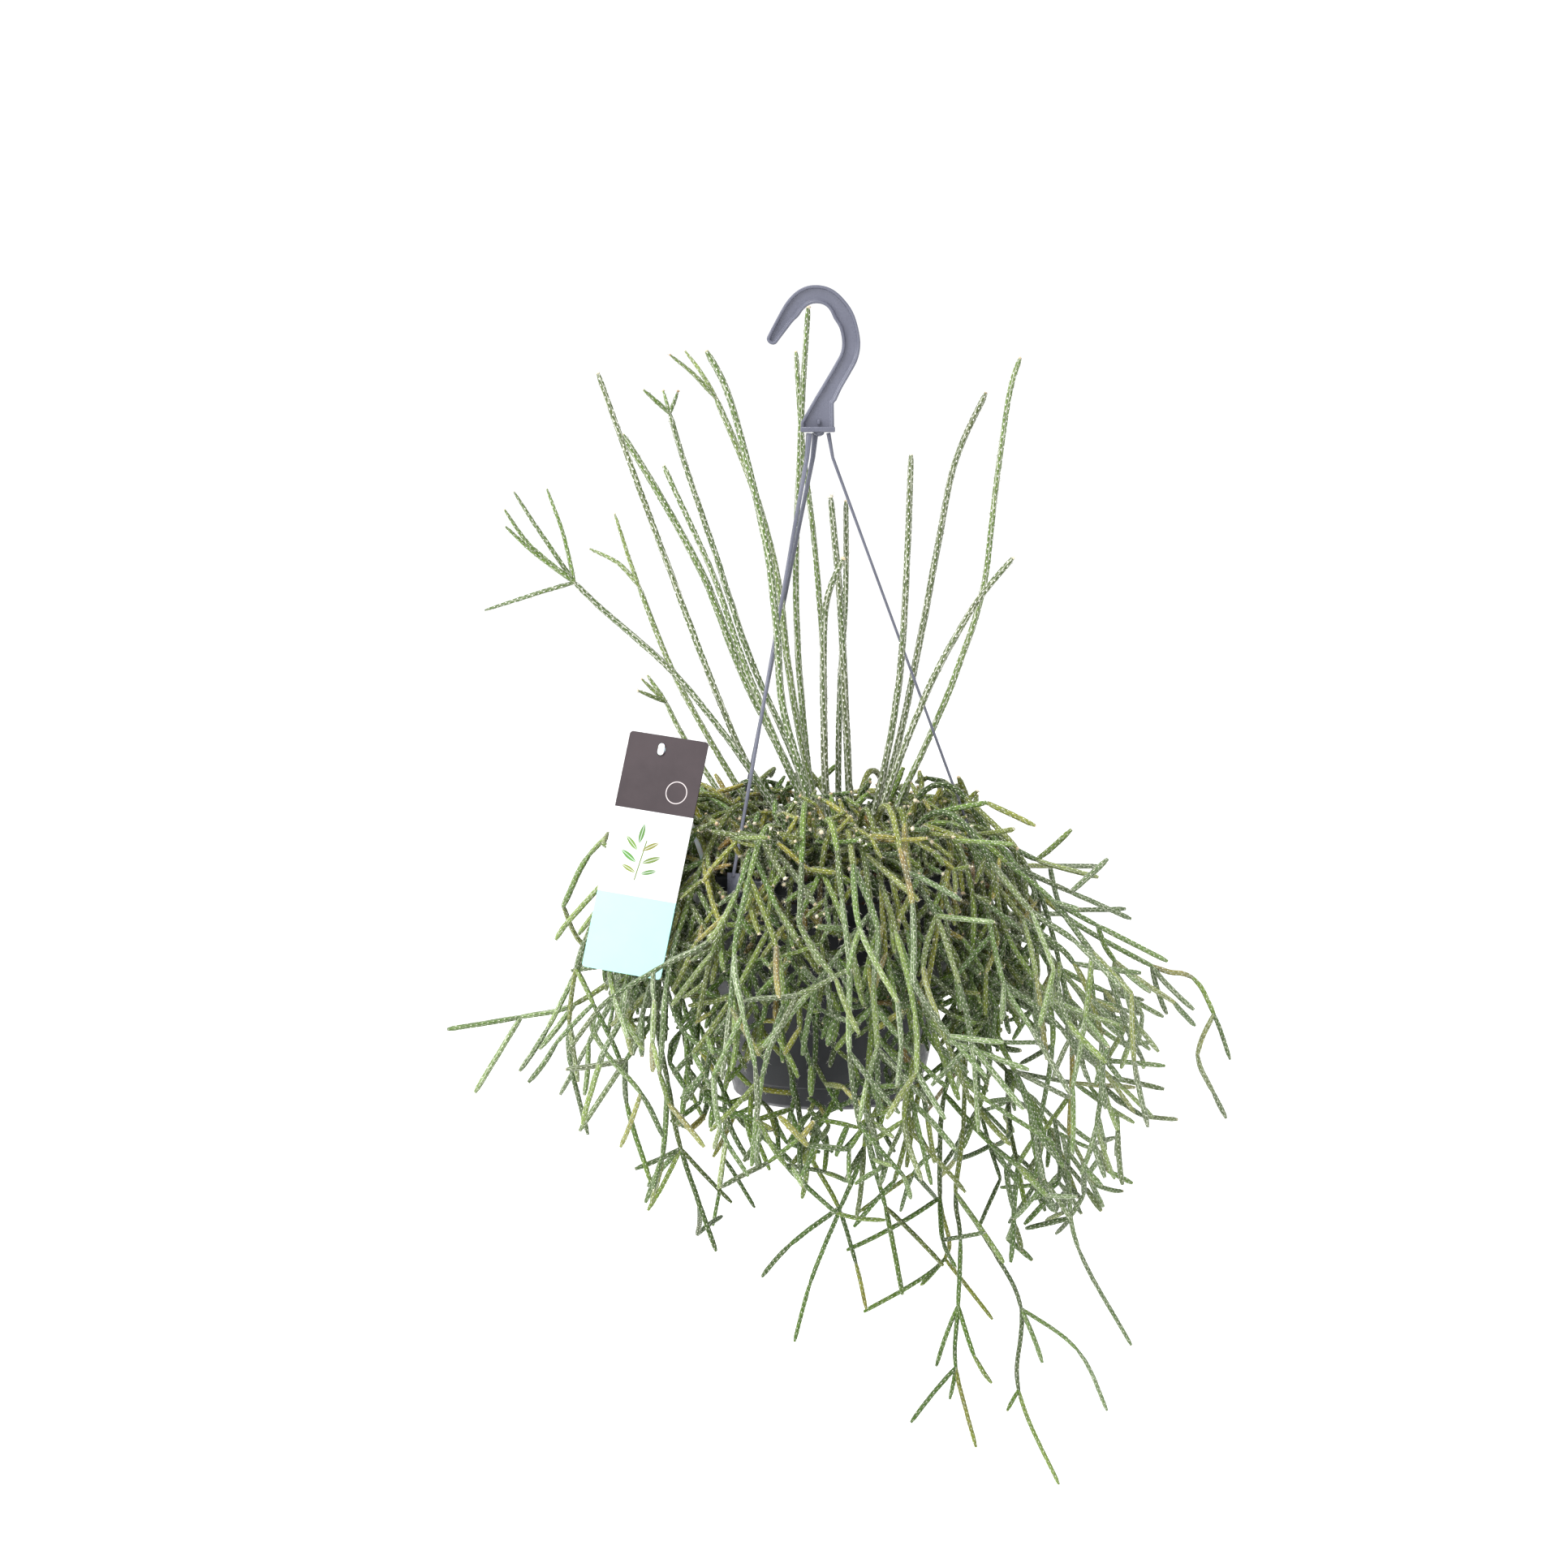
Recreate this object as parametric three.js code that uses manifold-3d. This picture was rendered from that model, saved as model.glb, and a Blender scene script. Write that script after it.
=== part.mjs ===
// A hanging pot with a trailing rhipsalis: pot, soil, three-armed hanger, label and every rooted stem
import * as THREE from 'three';
import { mergeVertices } from 'three/addons/utils/BufferGeometryUtils.js';
import Module from 'manifold-3d';

// Frame: millimetres, +Z up, origin at the seat inside the top of the hook
// Driving dimensions of the pot
const pot = {
  axisX: 7, rimZ: -322, height: 137.5, segments: 36,
  lipRadius: 87, lipDepth: 8, lipThick: 2.6, lipSkirt: 1.2, edge: 1,
  wallTop: 83, wallBase: 58, bandHeight: 14, bandStep: 0.6, bandInset: 1, wall: 1.6,
  footRadius: 51, footWidth: 5, footHeight: 2.5, chamfer: 3.5, floor: 2,
  drainHoles: 4, drainRadius: 4, drainCircle: 36, drainDepth: 12, drainSides: 10,
};
const potBaseZ = pot.rimZ - pot.height;
const clearance = 0.3;

// Driving dimensions of the soil, which fills the pot to a little under its rim
const soil = {
  topZ: pot.rimZ - 12, crownRise: 4, shoulder: 50, shoulderRise: 2.8, rootDepth: 13, neck: 5, bore: 6,
};

// Driving dimensions of the hanger: centre line of the hook as x, z and width across, from tip to yoke
const hook = {
  thickness: 5.6, web: 2.2, flange: 2.1,
  line: [
    [-25.6, -21.8, 6.4], [-19.6, -12.3, 8.3], [-12.7, -2.1, 10.1], [-6.4, 3.6, 10.6], [0, 5.3, 10.5],
    [6.8, 3.9, 10.2], [12.7, -0.9, 9.9], [17.6, -8.6, 10.1], [20.4, -20.7, 10.4], [19.4, -29.6, 10.5],
    [15.1, -38, 10.5], [10.3, -46.3, 10.6], [5.6, -55.2, 11.8],
  ],
  nose: { reach: 2.2, drop: 1.6, narrow: 0.55 },
  flare: { half: 0.44, lean: 2.8, cheek: 5 },
  yoke: { left: -6.8, right: 10.2, topZ: -62, footZ: -73.2, depth: 11, lip: 0.7, base: 3.4 },
};
const strap = {
  rootRadius: 1.9, bendRadius: 1.45, radius: 1.15, sides: 6, anchorOut: 2.3, anchorRise: 1,
  clip: { width: 9, height: 13, thickness: 1.7, toe: 3 },
  arms: [
    { name: 'hanger_strap_right', turn: 0, top: [7.4, 0, -73.8], bend: [10, 0, -88] },
    { name: 'hanger_strap_left_front', turn: -127, top: [-3.6, -3.4, -73.8], bend: [-5, -5, -88] },
    { name: 'hanger_strap_left_back', turn: 127, top: [0, 3.6, -73.8], bend: [-1.4, 5.4, -88] },
  ],
};

// Driving dimensions of the label, and of the strip that carries it
const tag = {
  corner: [-105, -52, -240], across: [44.7, -17, -5], down: [-31.9, -30.5, -129], thickness: 0.8,
  hole: { across: 21, down: 8, radius: 2.6, sides: 12 },
};
const tagStrip = {
  width: 3.4, thickness: 1, pegRadius: 2.1, pegSides: 10, headLength: 8, headWidth: 3.6, rise: 3,
  rimTurn: -140, rimDrop: 1, clip: { width: 5, height: 11, thickness: 1.4, toe: 3 },
};

// Driving dimensions of the stems
const stem = {
  radius: 2.5, sides: 3, uprightSides: 4, sunkEnd: 0.3, tipEnd: 0.55, uprightStep: 24, trailingStep: 30,
  gap: 0.5, beadStep: 3, beadSlack: 0.7, jointFree: 9, wallFree: 1, rootFree: 3,
  keep: { hook: 6, yoke: 8, clip: 3, tag: 1.4, strip: 2.2 },
};
const growth = {
  seed: 7, arcParts: 4, arcTries: 40, rounds: 8, longest: 50, shortest: 28, tries: 9, shorten: 0.04,
  roots: [34, 50, 65], crownRise: [22, 46], skirtScale: [0.8, 1.06], crownTwigs: 0.85,
  habits: [
    { count: 9, from: 0, arc: 360, life: 8, drop: 0.45, flare: [-0.1, 0.2], out: [95, 103], up: [0, 12] },
    { count: 9, from: 20, arc: 360, life: 7, drop: 0.22, flare: [0.2, 0.9], out: [99, 118], up: [4, 24] },
    { count: 5, from: -140, arc: 100, life: 7, drop: 0.4, flare: [-0.3, 0.1], out: [112, 128], up: [6, 24] },
  ],
};
const skirt = { x: 22, z: -420, radiusX: 205, radiusY: 178, radiusZ: 160 };

// Young shoots that stand up: joints from the soil to the tip, then the tips of the whorl at its end
const shoots = [
  {
    main: [[-10, -28, -329], [-18, -34, -300], [-34, -36, -270], [-59, -34, -235], [-86, -33, -204],
      [-122, -35, -172], [-137, -38, -157]],
    whorl: [
      [[-143, -39, -130], [-152, -40, -104]],
      [[-155, -36, -131], [-171, -34, -106]],
      [[-161, -46, -136], [-175, -54, -115]],
      [[-157, -50, -141], [-174, -62, -124]],
      [[-159, -32, -164], [-189, -24, -174]],
    ],
  },
  {
    main: [[-22, 18, -329], [-30, 19, -308], [-43, 20, -285], [-62, 22, -253], [-84, 26, -212],
      [-103, 30, -164]],
    whorl: [
      [[-110, 31, -144], [-117, 32, -122]],
      [[-115, 34, -151], [-132, 40, -143]],
    ],
  },
  {
    main: [[2, -27, -329], [-7, -27, -307], [-36, -23, -268], [-57, -18, -222], [-80, -10, -162],
      [-105, -2, -95], [-125, 6, -40]],
  },
  {
    main: [[3, 8, -329], [-2, 10, -300], [-22, 14, -256], [-43, 18, -213], [-65, 24, -158],
      [-90, 29, -112], [-112, 32, -76]],
  },
  {
    main: [[5, -6, -329], [3, -6, -302], [-15, -3, -255], [-38, 2, -203], [-57, 7, -146],
      [-76, 11, -90], [-84, 12, -63]],
    whorl: [
      [[-99, 4, -49]],
      [[-88, 20, -50]],
      [[-79, 8, -50]],
    ],
  },
  {
    main: [[4, -17, -329], [1, -18, -305], [-20, -16, -256], [-42, -14, -202], [-59, -12, -154],
      [-78, -10, -112], [-87, -9, -92]],
  },
  {
    main: [[9, -40, -329], [5, -41, -312], [-8, -43, -267], [-19, -45, -225], [-23, -43, -174],
      [-30, -36, -127], [-48, -24, -56], [-62, -18, -27]],
  },
  {
    main: [[7, 18, -329], [2, 15, -299], [-9, 12, -249], [-16, 10, -206], [-22, 8, -157],
      [-36, 4, -105], [-57, 0, -54]],
    whorl: [
      [[-70, -6, -40], [-83, -12, -29]],
      [[-66, 4, -39], [-75, 8, -27]],
      [[-63, 10, -43]],
    ],
  },
  {
    main: [[1, 34, -329], [-1, 34, -298], [-6, 33, -250], [-10, 31, -199], [-11, 28, -149],
      [-9, 25, -91], [-7, 23, -48], [-4, 21, -2]],
  },
  {
    main: [[10, 46, -329], [6, 46, -295], [6, 47, -251], [5, 47, -203], [0, 47, -141], [-7, 45, -83],
      [-11, 42, -28]],
  },
  {
    main: [[14, -9, -329], [7, -8, -290], [5, -10, -226], [6, -12, -173], [16, -14, -145]],
  },
  {
    main: [[25, 4, -329], [21, 6, -295], [18, 8, -240], [15, 11, -177], [9, 14, -111]],
  },
  {
    main: [[17, 27, -329], [14, 26, -284], [15, 24, -224], [18, 22, -165], [18, 20, -114]],
  },
  {
    main: [[28, -20, -329], [33, -22, -296], [43, -24, -248], [49, -27, -203], [52, -31, -145],
      [54, -34, -85]],
  },
  {
    main: [[32, 22, -329], [37, 24, -301], [49, 26, -257], [60, 30, -205], [72, 34, -142],
      [82, 36, -92], [100, 40, -52]],
  },
  {
    main: [[39, 8, -329], [47, 8, -294], [67, 8, -250], [83, 6, -210], [97, 4, -164], [104, 0, -105],
      [111, -4, -52], [117, -7, -31]],
  },
  {
    main: [[31, -33, -329], [36, -34, -294], [52, -38, -248], [68, -42, -209], [90, -47, -169],
      [111, -54, -142]],
  },
  {
    main: [[-36, 34, -329], [-44, 35, -308], [-57, 36, -286], [-77, 42, -255], [-88, 46, -234]],
    whorl: [
      [[-99, 54, -219]],
      [[-102, 42, -220]],
      [[-104, 34, -226]],
    ],
  },
];

// Long trailing stems that hang clear of the rest: the main line, then side lines from its joints
const trailing = [
  {
    main: [[40, -44, -329], [56, -58, -304], [77, -72, -300], [88, -76, -330], [88, -76, -372],
      [85, -72, -420], [84, -70, -466], [80, -68, -504], [83, -66, -532], [82, -64, -571],
      [81, -62, -608], [93, -60, -656]],
    side: [
      [[81, -62, -608], [55, -68, -639]],
      [[81, -62, -608], [78, -54, -629]],
      [[82, -64, -571], [91, -70, -599], [101, -74, -614]],
      [[82, -64, -571], [70, -56, -609]],
      [[80, -68, -504], [102, -58, -540], [119, -52, -576], [118, -50, -625], [142, -48, -682]],
      [[118, -50, -625], [111, -58, -635]],
      [[119, -52, -576], [131, -60, -606]],
      [[119, -52, -576], [152, -46, -602], [170, -44, -639]],
    ],
  },
  {
    main: [[56, -4, -329], [74, -12, -304], [100, -17, -302], [126, -15, -330], [142, -12, -380],
      [150, -10, -430], [149, -10, -483], [149, -10, -510], [155, -10, -551], [187, -8, -610]],
  },
  {
    main: [[18, -56, -329], [22, -72, -306], [26, -94, -304], [30, -112, -335], [31, -108, -390],
      [29, -100, -430], [27, -96, -471], [14, -94, -506], [-3, -92, -550], [-12, -90, -585]],
  },
  {
    main: [[-8, -52, -329], [-14, -66, -308], [-22, -92, -304], [-26, -104, -345], [-20, -94, -400],
      [-12, -84, -440], [-5, -80, -475], [13, -78, -510], [23, -76, -543], [29, -75, -570]],
  },
  {
    main: [[52, -26, -329], [64, -40, -300], [76, -66, -304], [68, -92, -345], [58, -90, -400],
      [41, -80, -440], [30, -74, -470], [40, -69, -512], [50, -66, -564]],
  },
  {
    main: [[46, -10, -329], [66, -18, -302], [92, -34, -302], [100, -46, -345], [92, -50, -400],
      [74, -50, -450], [72, -46, -512], [75, -46, -548], [28, -52, -578]],
    side: [
      [[75, -46, -548], [103, -42, -585]],
      [[72, -46, -512], [18, -58, -540]],
    ],
  },
  {
    main: [[-42, 0, -329], [-58, -4, -306], [-86, -10, -304], [-104, -12, -340], [-110, -14, -380],
      [-140, -12, -405], [-171, -14, -412], [-214, -16, -419]],
    side: [
      [[-171, -14, -412], [-198, -18, -456]],
    ],
  },
  {
    main: [[-26, -42, -329], [-30, -62, -306], [-36, -88, -302], [-44, -107, -324], [-60, -120, -350],
      [-84, -124, -362], [-122, -122, -389], [-118, -114, -412], [-98, -106, -438], [-86, -100, -464]],
    side: [
      [[-122, -122, -389], [-138, -120, -412]],
    ],
  },
  {
    main: [[-42, -22, -329], [-56, -38, -306], [-74, -54, -304], [-84, -68, -345], [-90, -72, -400],
      [-84, -68, -440], [-77, -64, -479], [-57, -60, -540]],
    side: [
      [[-77, -64, -479], [-96, -60, -516]],
      [[-77, -64, -479], [-103, -68, -490]],
      [[-77, -64, -479], [-48, -58, -512]],
    ],
  },
  {
    main: [[54, 22, -329], [70, 18, -306], [98, 12, -306], [141, 10, -352], [198, 10, -386],
      [222, 10, -393], [235, 10, -415], [245, 10, -442]],
    side: [
      [[198, 10, -386], [208, 16, -416]],
      [[235, 10, -415], [226, 14, -440], [236, 16, -463], [244, 18, -479]],
    ],
  },
];

const down = new THREE.Vector3(0, 0, -1);

function vector(point) {
  return new THREE.Vector3(...point);
}

// Repeatable random numbers from 0 to 1
function makeRandom(seed) {
  let state = seed;
  return () => {
    state = (Math.imul(state, 1664525) + 1013904223) >>> 0;
    return state / 4294967296;
  };
}

// Beads: every solid is marked in space by small balls, so that new stems can be bent clear of it
const cellSize = 9;
const beads = new Map();

function cellOf(point) {
  return [point.x, point.y, point.z].map((value) => Math.floor(value / cellSize));
}

function beadsAlong(points) {
  const list = [];
  let along = 0;
  for (let i = 1; i < points.length; i += 1) {
    const span = points[i].distanceTo(points[i - 1]);
    const count = Math.max(1, Math.ceil(span / stem.beadStep));
    for (let k = i === 1 ? 0 : 1; k <= count; k += 1) {
      const place = points[i - 1].clone().lerp(points[i], k / count);
      list.push({ place, along: along + span * k / count });
    }
    along += span;
  }
  return list;
}

function markSolid(points, radius, owner) {
  for (const bead of beadsAlong(points)) {
    const key = cellOf(bead.place).join();
    if (!beads.has(key)) beads.set(key, []);
    beads.get(key).push({ place: bead.place, radius, owner });
  }
}

function wallRadius(z) {
  const bandZ = potBaseZ + pot.bandHeight;
  const rise = (z - bandZ) / (pot.rimZ - pot.lipDepth - bandZ);
  return pot.wallBase + (pot.wallTop - pot.wallBase) * Math.max(0, rise);
}

// True where a stem of this radius would touch the pot or the soil
function touchesPot(place, radius) {
  const margin = radius + stem.wallFree;
  const out = Math.hypot(place.x - pot.axisX, place.y);
  if (place.z < potBaseZ - margin || place.z > pot.rimZ + margin) return false;
  if (out > pot.lipRadius + margin) return false;
  if (out < pot.wallTop - 5 - margin) return place.z < soil.topZ + soil.crownRise + margin;
  if (place.z > pot.rimZ - pot.lipDepth - margin) return true;
  return out < wallRadius(place.z) + margin;
}

// True where a line of stem runs clear of the pot and of every bead that isn't its own
function isClear(points, owner, freeStart) {
  for (const bead of beadsAlong(points)) {
    if (touchesPot(bead.place, stem.radius)) return false;
    const [ci, cj, ck] = cellOf(bead.place);
    for (let i = ci - 1; i <= ci + 1; i += 1) {
      for (let j = cj - 1; j <= cj + 1; j += 1) {
        for (let k = ck - 1; k <= ck + 1; k += 1) {
          for (const other of beads.get([i, j, k].join()) ?? []) {
            const own = other.owner === owner && bead.along < freeStart;
            const reach = stem.radius + other.radius + stem.gap + stem.beadSlack;
            if (!own && bead.place.distanceTo(other.place) < reach) return false;
          }
        }
      }
    }
  }
  return true;
}

// A curve through all the points, sampled about every step
function smoothLine(points, step) {
  const line = [points[0].clone()];
  for (let i = 1; i < points.length; i += 1) {
    const [a, b] = [points[Math.max(0, i - 2)], points[i - 1]];
    const [c, d] = [points[i], points[Math.min(points.length - 1, i + 1)]];
    const parts = Math.max(1, Math.round(b.distanceTo(c) / step));
    for (let k = 1; k <= parts; k += 1) {
      const t = k / parts;
      const [t2, t3] = [t * t, t * t * t];
      const weights = [2 * t2 - t - t3, 2 - 5 * t2 + 3 * t3, t + 4 * t2 - 3 * t3, t3 - t2];
      const place = new THREE.Vector3();
      [a, b, c, d].forEach((point, n) => place.addScaledVector(point, weights[n] / 2));
      line.push(place);
    }
  }
  return line;
}

function rootBelow(point) {
  return new THREE.Vector3(point.x, point.y, soil.topZ - soil.rootDepth);
}

function between([low, high], share) {
  return low + (high - low) * share;
}

// A stem is a list of chains; each later chain starts at a joint of an earlier one
function drawnStem(name, entry, step, sides) {
  const joints = entry.main.map(vector);
  const chains = [[rootBelow(joints[0]), ...smoothLine(joints, step)]];
  const end = joints[joints.length - 1];
  for (const tip of entry.whorl ?? []) chains.push([end.clone(), ...tip.map(vector)]);
  for (const line of entry.side ?? []) chains.push(line.map(vector));
  for (const chain of chains) markSolid(chain, stem.radius, name);
  return { name, chains, sides, tips: [], reach: 1 };
}

function outwardFrom(place) {
  return new THREE.Vector3(place.x - pot.axisX, place.y, 0).normalize();
}

// A direction turned away from the heading by an angle, towards a side picked by a second angle
function turned(heading, angle, side) {
  const steep = Math.abs(heading.z) > 0.9;
  const across = new THREE.Vector3(1, 0, 0);
  if (!steep) across.copy(down);
  across.crossVectors(heading, across).normalize();
  const other = new THREE.Vector3().crossVectors(heading, across);
  const lean = across.multiplyScalar(Math.cos(side)).addScaledVector(other, Math.sin(side));
  return heading.clone().multiplyScalar(Math.cos(angle)).addScaledVector(lean, Math.sin(angle));
}

// True inside the bell of foliage round the pot, longer or shorter below by the plant's own reach
function insideSkirt(place, reach) {
  const depth = place.z < skirt.z ? skirt.radiusZ * reach : skirt.radiusZ;
  const x = (place.x - skirt.x) / skirt.radiusX;
  const y = place.y / skirt.radiusY;
  const z = (place.z - skirt.z) / depth;
  return x * x + y * y + z * z < 1;
}

// Roots keep apart in the soil
const rootPlaces = [];
function isClearRoot(start) {
  const apart = 2 * stem.radius + stem.rootFree;
  return rootPlaces.every((other) => Math.hypot(other.x - start.x, other.y - start.y) > apart);
}

function aroundPot(out, turn, z) {
  return new THREE.Vector3(pot.axisX + out * Math.cos(turn), out * Math.sin(turn), z);
}

// The first part of a trailing stem: out of the soil, over the rim and down
function arcOverRim(name, index, habit, random) {
  const pitch = habit.arc / habit.count;
  for (let attempt = 0; attempt < growth.arcTries; attempt += 1) {
    const shift = pitch * 0.8 * (random() - 0.5) + 3 * attempt * (random() - 0.5);
    const turn = THREE.MathUtils.degToRad(habit.from + index * pitch + shift);
    const rootOut = growth.roots[index % growth.roots.length] + 4 * (random() - 0.5);
    const topZ = pot.rimZ + between(growth.crownRise, random());
    const reach = between(habit.out, random());
    const endZ = pot.rimZ + between(habit.up, random());
    const twist = 0.35 * (random() - 0.5);
    const start = aroundPot(rootOut, turn, soil.topZ + soil.neck);
    const middleZ = 2 * topZ - (start.z + endZ) / 2;
    const middle = aroundPot(rootOut + 0.4 * (reach - rootOut), turn + twist / 2, middleZ);
    const end = aroundPot(reach, turn + twist, endZ);
    const arc = [];
    for (let i = 0; i <= growth.arcParts; i += 1) {
      const t = i / growth.arcParts;
      const place = start.clone().multiplyScalar((1 - t) * (1 - t)).addScaledVector(middle, 2 * t * (1 - t));
      arc.push(place.addScaledVector(end, t * t));
    }
    const aboveSoil = [start.clone().lerp(arc[1], 0.55), ...arc.slice(1)];
    if (isClear(aboveSoil, name, 0) && isClearRoot(start)) return [rootBelow(start), ...arc];
  }
  return null;
}

// One section of stem from a joint, bent clear of what is already there, or nothing
function growSection(plant, tip, random) {
  const fullLength = between([growth.shortest, growth.longest], random());
  const outward = outwardFrom(tip.place);
  for (let attempt = 0; attempt < growth.tries; attempt += 1) {
    const spread = 0.12 + 0.1 * attempt;
    const heading = tip.heading.clone().addScaledVector(outward, tip.spread * 0.35);
    heading.addScaledVector(down, tip.drop);
    for (const axis of ['x', 'y', 'z']) heading[axis] += 2 * spread * (random() - 0.5);
    heading.normalize();
    const end = tip.place.clone().addScaledVector(heading, fullLength * (1 - growth.shorten * attempt));
    const line = [tip.place.clone(), end];
    const inside = insideSkirt(end, plant.reach);
    if (attempt === 0 && !inside) return null;
    if (inside && isClear(line, plant.name, stem.jointFree)) return { line, heading };
  }
  return null;
}

// Every live tip grows one section on, and may fork at its end
function growOn(plant, random) {
  const tips = plant.tips;
  plant.tips = [];
  for (const tip of tips) {
    const section = growSection(plant, tip, random);
    if (!section) continue;
    markSolid(section.line, stem.radius, plant.name);
    if (tip.chain === null) {
      tip.chain = plant.chains.length;
      plant.chains.push([section.line[0]]);
    }
    plant.chains[tip.chain].push(section.line[1]);
    if (tip.life <= 1) continue;
    const place = section.line[1];
    const drop = Math.min(0.6, tip.drop + 0.03);
    const ahead = turned(section.heading, 0.15 + 0.35 * random(), 2 * Math.PI * random());
    plant.tips.push({ ...tip, place, heading: ahead, life: tip.life - 1, drop, spread: tip.spread * 0.8 });
    const forks = random() < 0.45 ? 2 : 1;
    const side = 2 * Math.PI * random();
    for (let n = 0; n < forks; n += 1) {
      const heading = turned(section.heading, 0.5 + 0.5 * random(), side + n * (2.2 + random()));
      const life = Math.min(tip.life - 1, 1 + Math.floor(3.2 * random()));
      const spread = 0.3 + 0.5 * tip.spread;
      plant.tips.push({ place, heading, life, drop: drop * 0.5, spread, chain: null });
    }
  }
}

function numbered(kind, number) {
  return `${kind}_${String(number).padStart(2, '0')}`;
}

function startTrailer(name, index, habit, random) {
  const arc = arcOverRim(name, index, habit, random);
  if (!arc) return null;
  rootPlaces.push(arc[1]);
  markSolid(arc, stem.radius, name);
  const place = arc[arc.length - 1];
  const heading = place.clone().sub(arc[arc.length - 2]).normalize();
  const aside = turned(heading, 0.7, 2 * Math.PI * random());
  const spread = between(habit.flare, random());
  const { life, drop } = habit;
  const tips = [
    { place, heading, life, drop, spread, chain: 0 },
    { place, heading: aside, life: 4, drop, spread, chain: null },
  ];
  return { name, chains: [arc], sides: stem.sides, tips, reach: between(growth.skirtScale, random()) };
}

// Side twigs in the crown and along the line
function addTwigs(plant, random) {
  const main = plant.chains[0];
  for (let i = 2; i < main.length - 1; i += 1) {
    if (random() > growth.crownTwigs) continue;
    const along = main[i + 1].clone().sub(main[i - 1]).normalize();
    const drop = main[i].z > pot.rimZ - 10 ? 0 : 0.12;
    const heading = turned(along, 0.6 + 0.5 * random(), 2 * Math.PI * random());
    const life = 1 + Math.floor(2.4 * random());
    plant.tips.push({ place: main[i], heading, life, drop, spread: 0.4, chain: null });
  }
}

function growPlants() {
  for (const entry of [...shoots, ...trailing]) rootPlaces.push(vector(entry.main[0]));
  const uprights = shoots.map((entry, n) => (
    drawnStem(numbered('upright', n + 1), entry, stem.uprightStep, stem.uprightSides)));
  const trailers = trailing.map((entry, n) => (
    drawnStem(numbered('trailing', n + 1), entry, stem.trailingStep, stem.sides)));
  const random = makeRandom(growth.seed);
  for (const habit of growth.habits) {
    for (let index = 0; index < habit.count; index += 1) {
      const trailer = startTrailer(numbered('trailing', trailers.length + 1), index, habit, random);
      if (trailer) trailers.push(trailer);
    }
  }
  for (const plant of trailers) addTwigs(plant, random);
  for (let round = 0; round < growth.rounds; round += 1) {
    for (const plant of trailers) growOn(plant, random);
  }
  return [...uprights, ...trailers];
}

const wasm = await Module();
wasm.setup();

// A closed geometry as a solid: only its places, merged, without the flat triangles at a pole
function toSolid(geometry) {
  const bare = geometry.clone();
  bare.deleteAttribute('normal');
  bare.deleteAttribute('uv');
  const merged = mergeVertices(bare, 1e-4);
  const corners = merged.getIndex().array;
  const triVerts = [];
  for (let i = 0; i < corners.length; i += 3) {
    const [a, b, c] = corners.slice(i, i + 3);
    if (a !== b && b !== c && c !== a) triVerts.push(a, b, c);
  }
  const vertProperties = new Float32Array(merged.getAttribute('position').array);
  const mesh = new wasm.Mesh({ numProp: 3, vertProperties, triVerts: new Uint32Array(triVerts) });
  return new wasm.Manifold(mesh);
}

function toGeometry(solid) {
  const mesh = solid.getMesh();
  const geometry = new THREE.BufferGeometry();
  geometry.setAttribute('position', new THREE.BufferAttribute(mesh.vertProperties, 3));
  geometry.setIndex(new THREE.BufferAttribute(mesh.triVerts, 1));
  geometry.computeVertexNormals();
  return geometry;
}

function joined(geometries) {
  return geometries.map(toSolid).reduce((whole, piece) => whole.add(piece));
}

// Directions across a line at each point, carried along it without twist
function framesAlong(points, firstAcross) {
  const frames = [];
  let across = firstAcross.clone();
  for (let i = 0; i < points.length; i += 1) {
    const before = points[Math.max(0, i - 1)];
    const after = points[Math.min(points.length - 1, i + 1)];
    const ahead = after.clone().sub(before).normalize();
    across = across.clone().addScaledVector(ahead, -across.dot(ahead)).normalize();
    frames.push({ across, other: new THREE.Vector3().crossVectors(ahead, across) });
  }
  return frames;
}

// A straight prism bent onto the line, its section scaled at every point
function bentPrism(points, outline, scales, firstAcross) {
  const parts = points.length - 1;
  const section = new THREE.Shape(outline.map(([x, y]) => new THREE.Vector2(x, y)));
  const prism = new THREE.ExtrudeGeometry(section, { depth: parts, steps: parts, bevelEnabled: false });
  const frames = framesAlong(points, firstAcross);
  const corners = prism.getAttribute('position');
  for (let i = 0; i < corners.count; i += 1) {
    const ring = Math.round(corners.getZ(i));
    const place = points[ring].clone();
    place.addScaledVector(frames[ring].across, corners.getX(i) * scales[ring]);
    place.addScaledVector(frames[ring].other, corners.getY(i) * scales[ring]);
    corners.setXYZ(i, place.x, place.y, place.z);
  }
  return prism;
}

function polygon(sides, radius) {
  return Array.from({ length: sides }, (_, n) => {
    const angle = 2 * Math.PI * (n + 0.5) / sides;
    return [radius * Math.cos(angle), radius * Math.sin(angle)];
  });
}

const sideways = new THREE.Vector3(1, 0.2, 0);

// One chain of stem; a side chain starts small, so that its end is sunk in the stem it grows from
function stemTube(points, sides, isSide) {
  const scales = points.map(() => 1);
  if (isSide) scales[0] = stem.sunkEnd;
  scales[scales.length - 1] = stem.tipEnd;
  return bentPrism(points, polygon(sides, stem.radius), scales, sideways);
}

function finish(color, roughness) {
  return new THREE.MeshStandardMaterial({ color, roughness, metalness: 0 });
}

const model = new THREE.Group();

function addPiece(name, geometry, material) {
  const mesh = new THREE.Mesh(geometry, material);
  mesh.name = name;
  model.add(mesh);
}

// A profile of x, z pairs turned about the pot's axis
function turnedBody(profile) {
  const body = new THREE.LatheGeometry(profile.map(([x, z]) => new THREE.Vector2(x, z)), pot.segments);
  return body.rotateX(Math.PI / 2).translate(pot.axisX, 0, 0);
}

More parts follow.
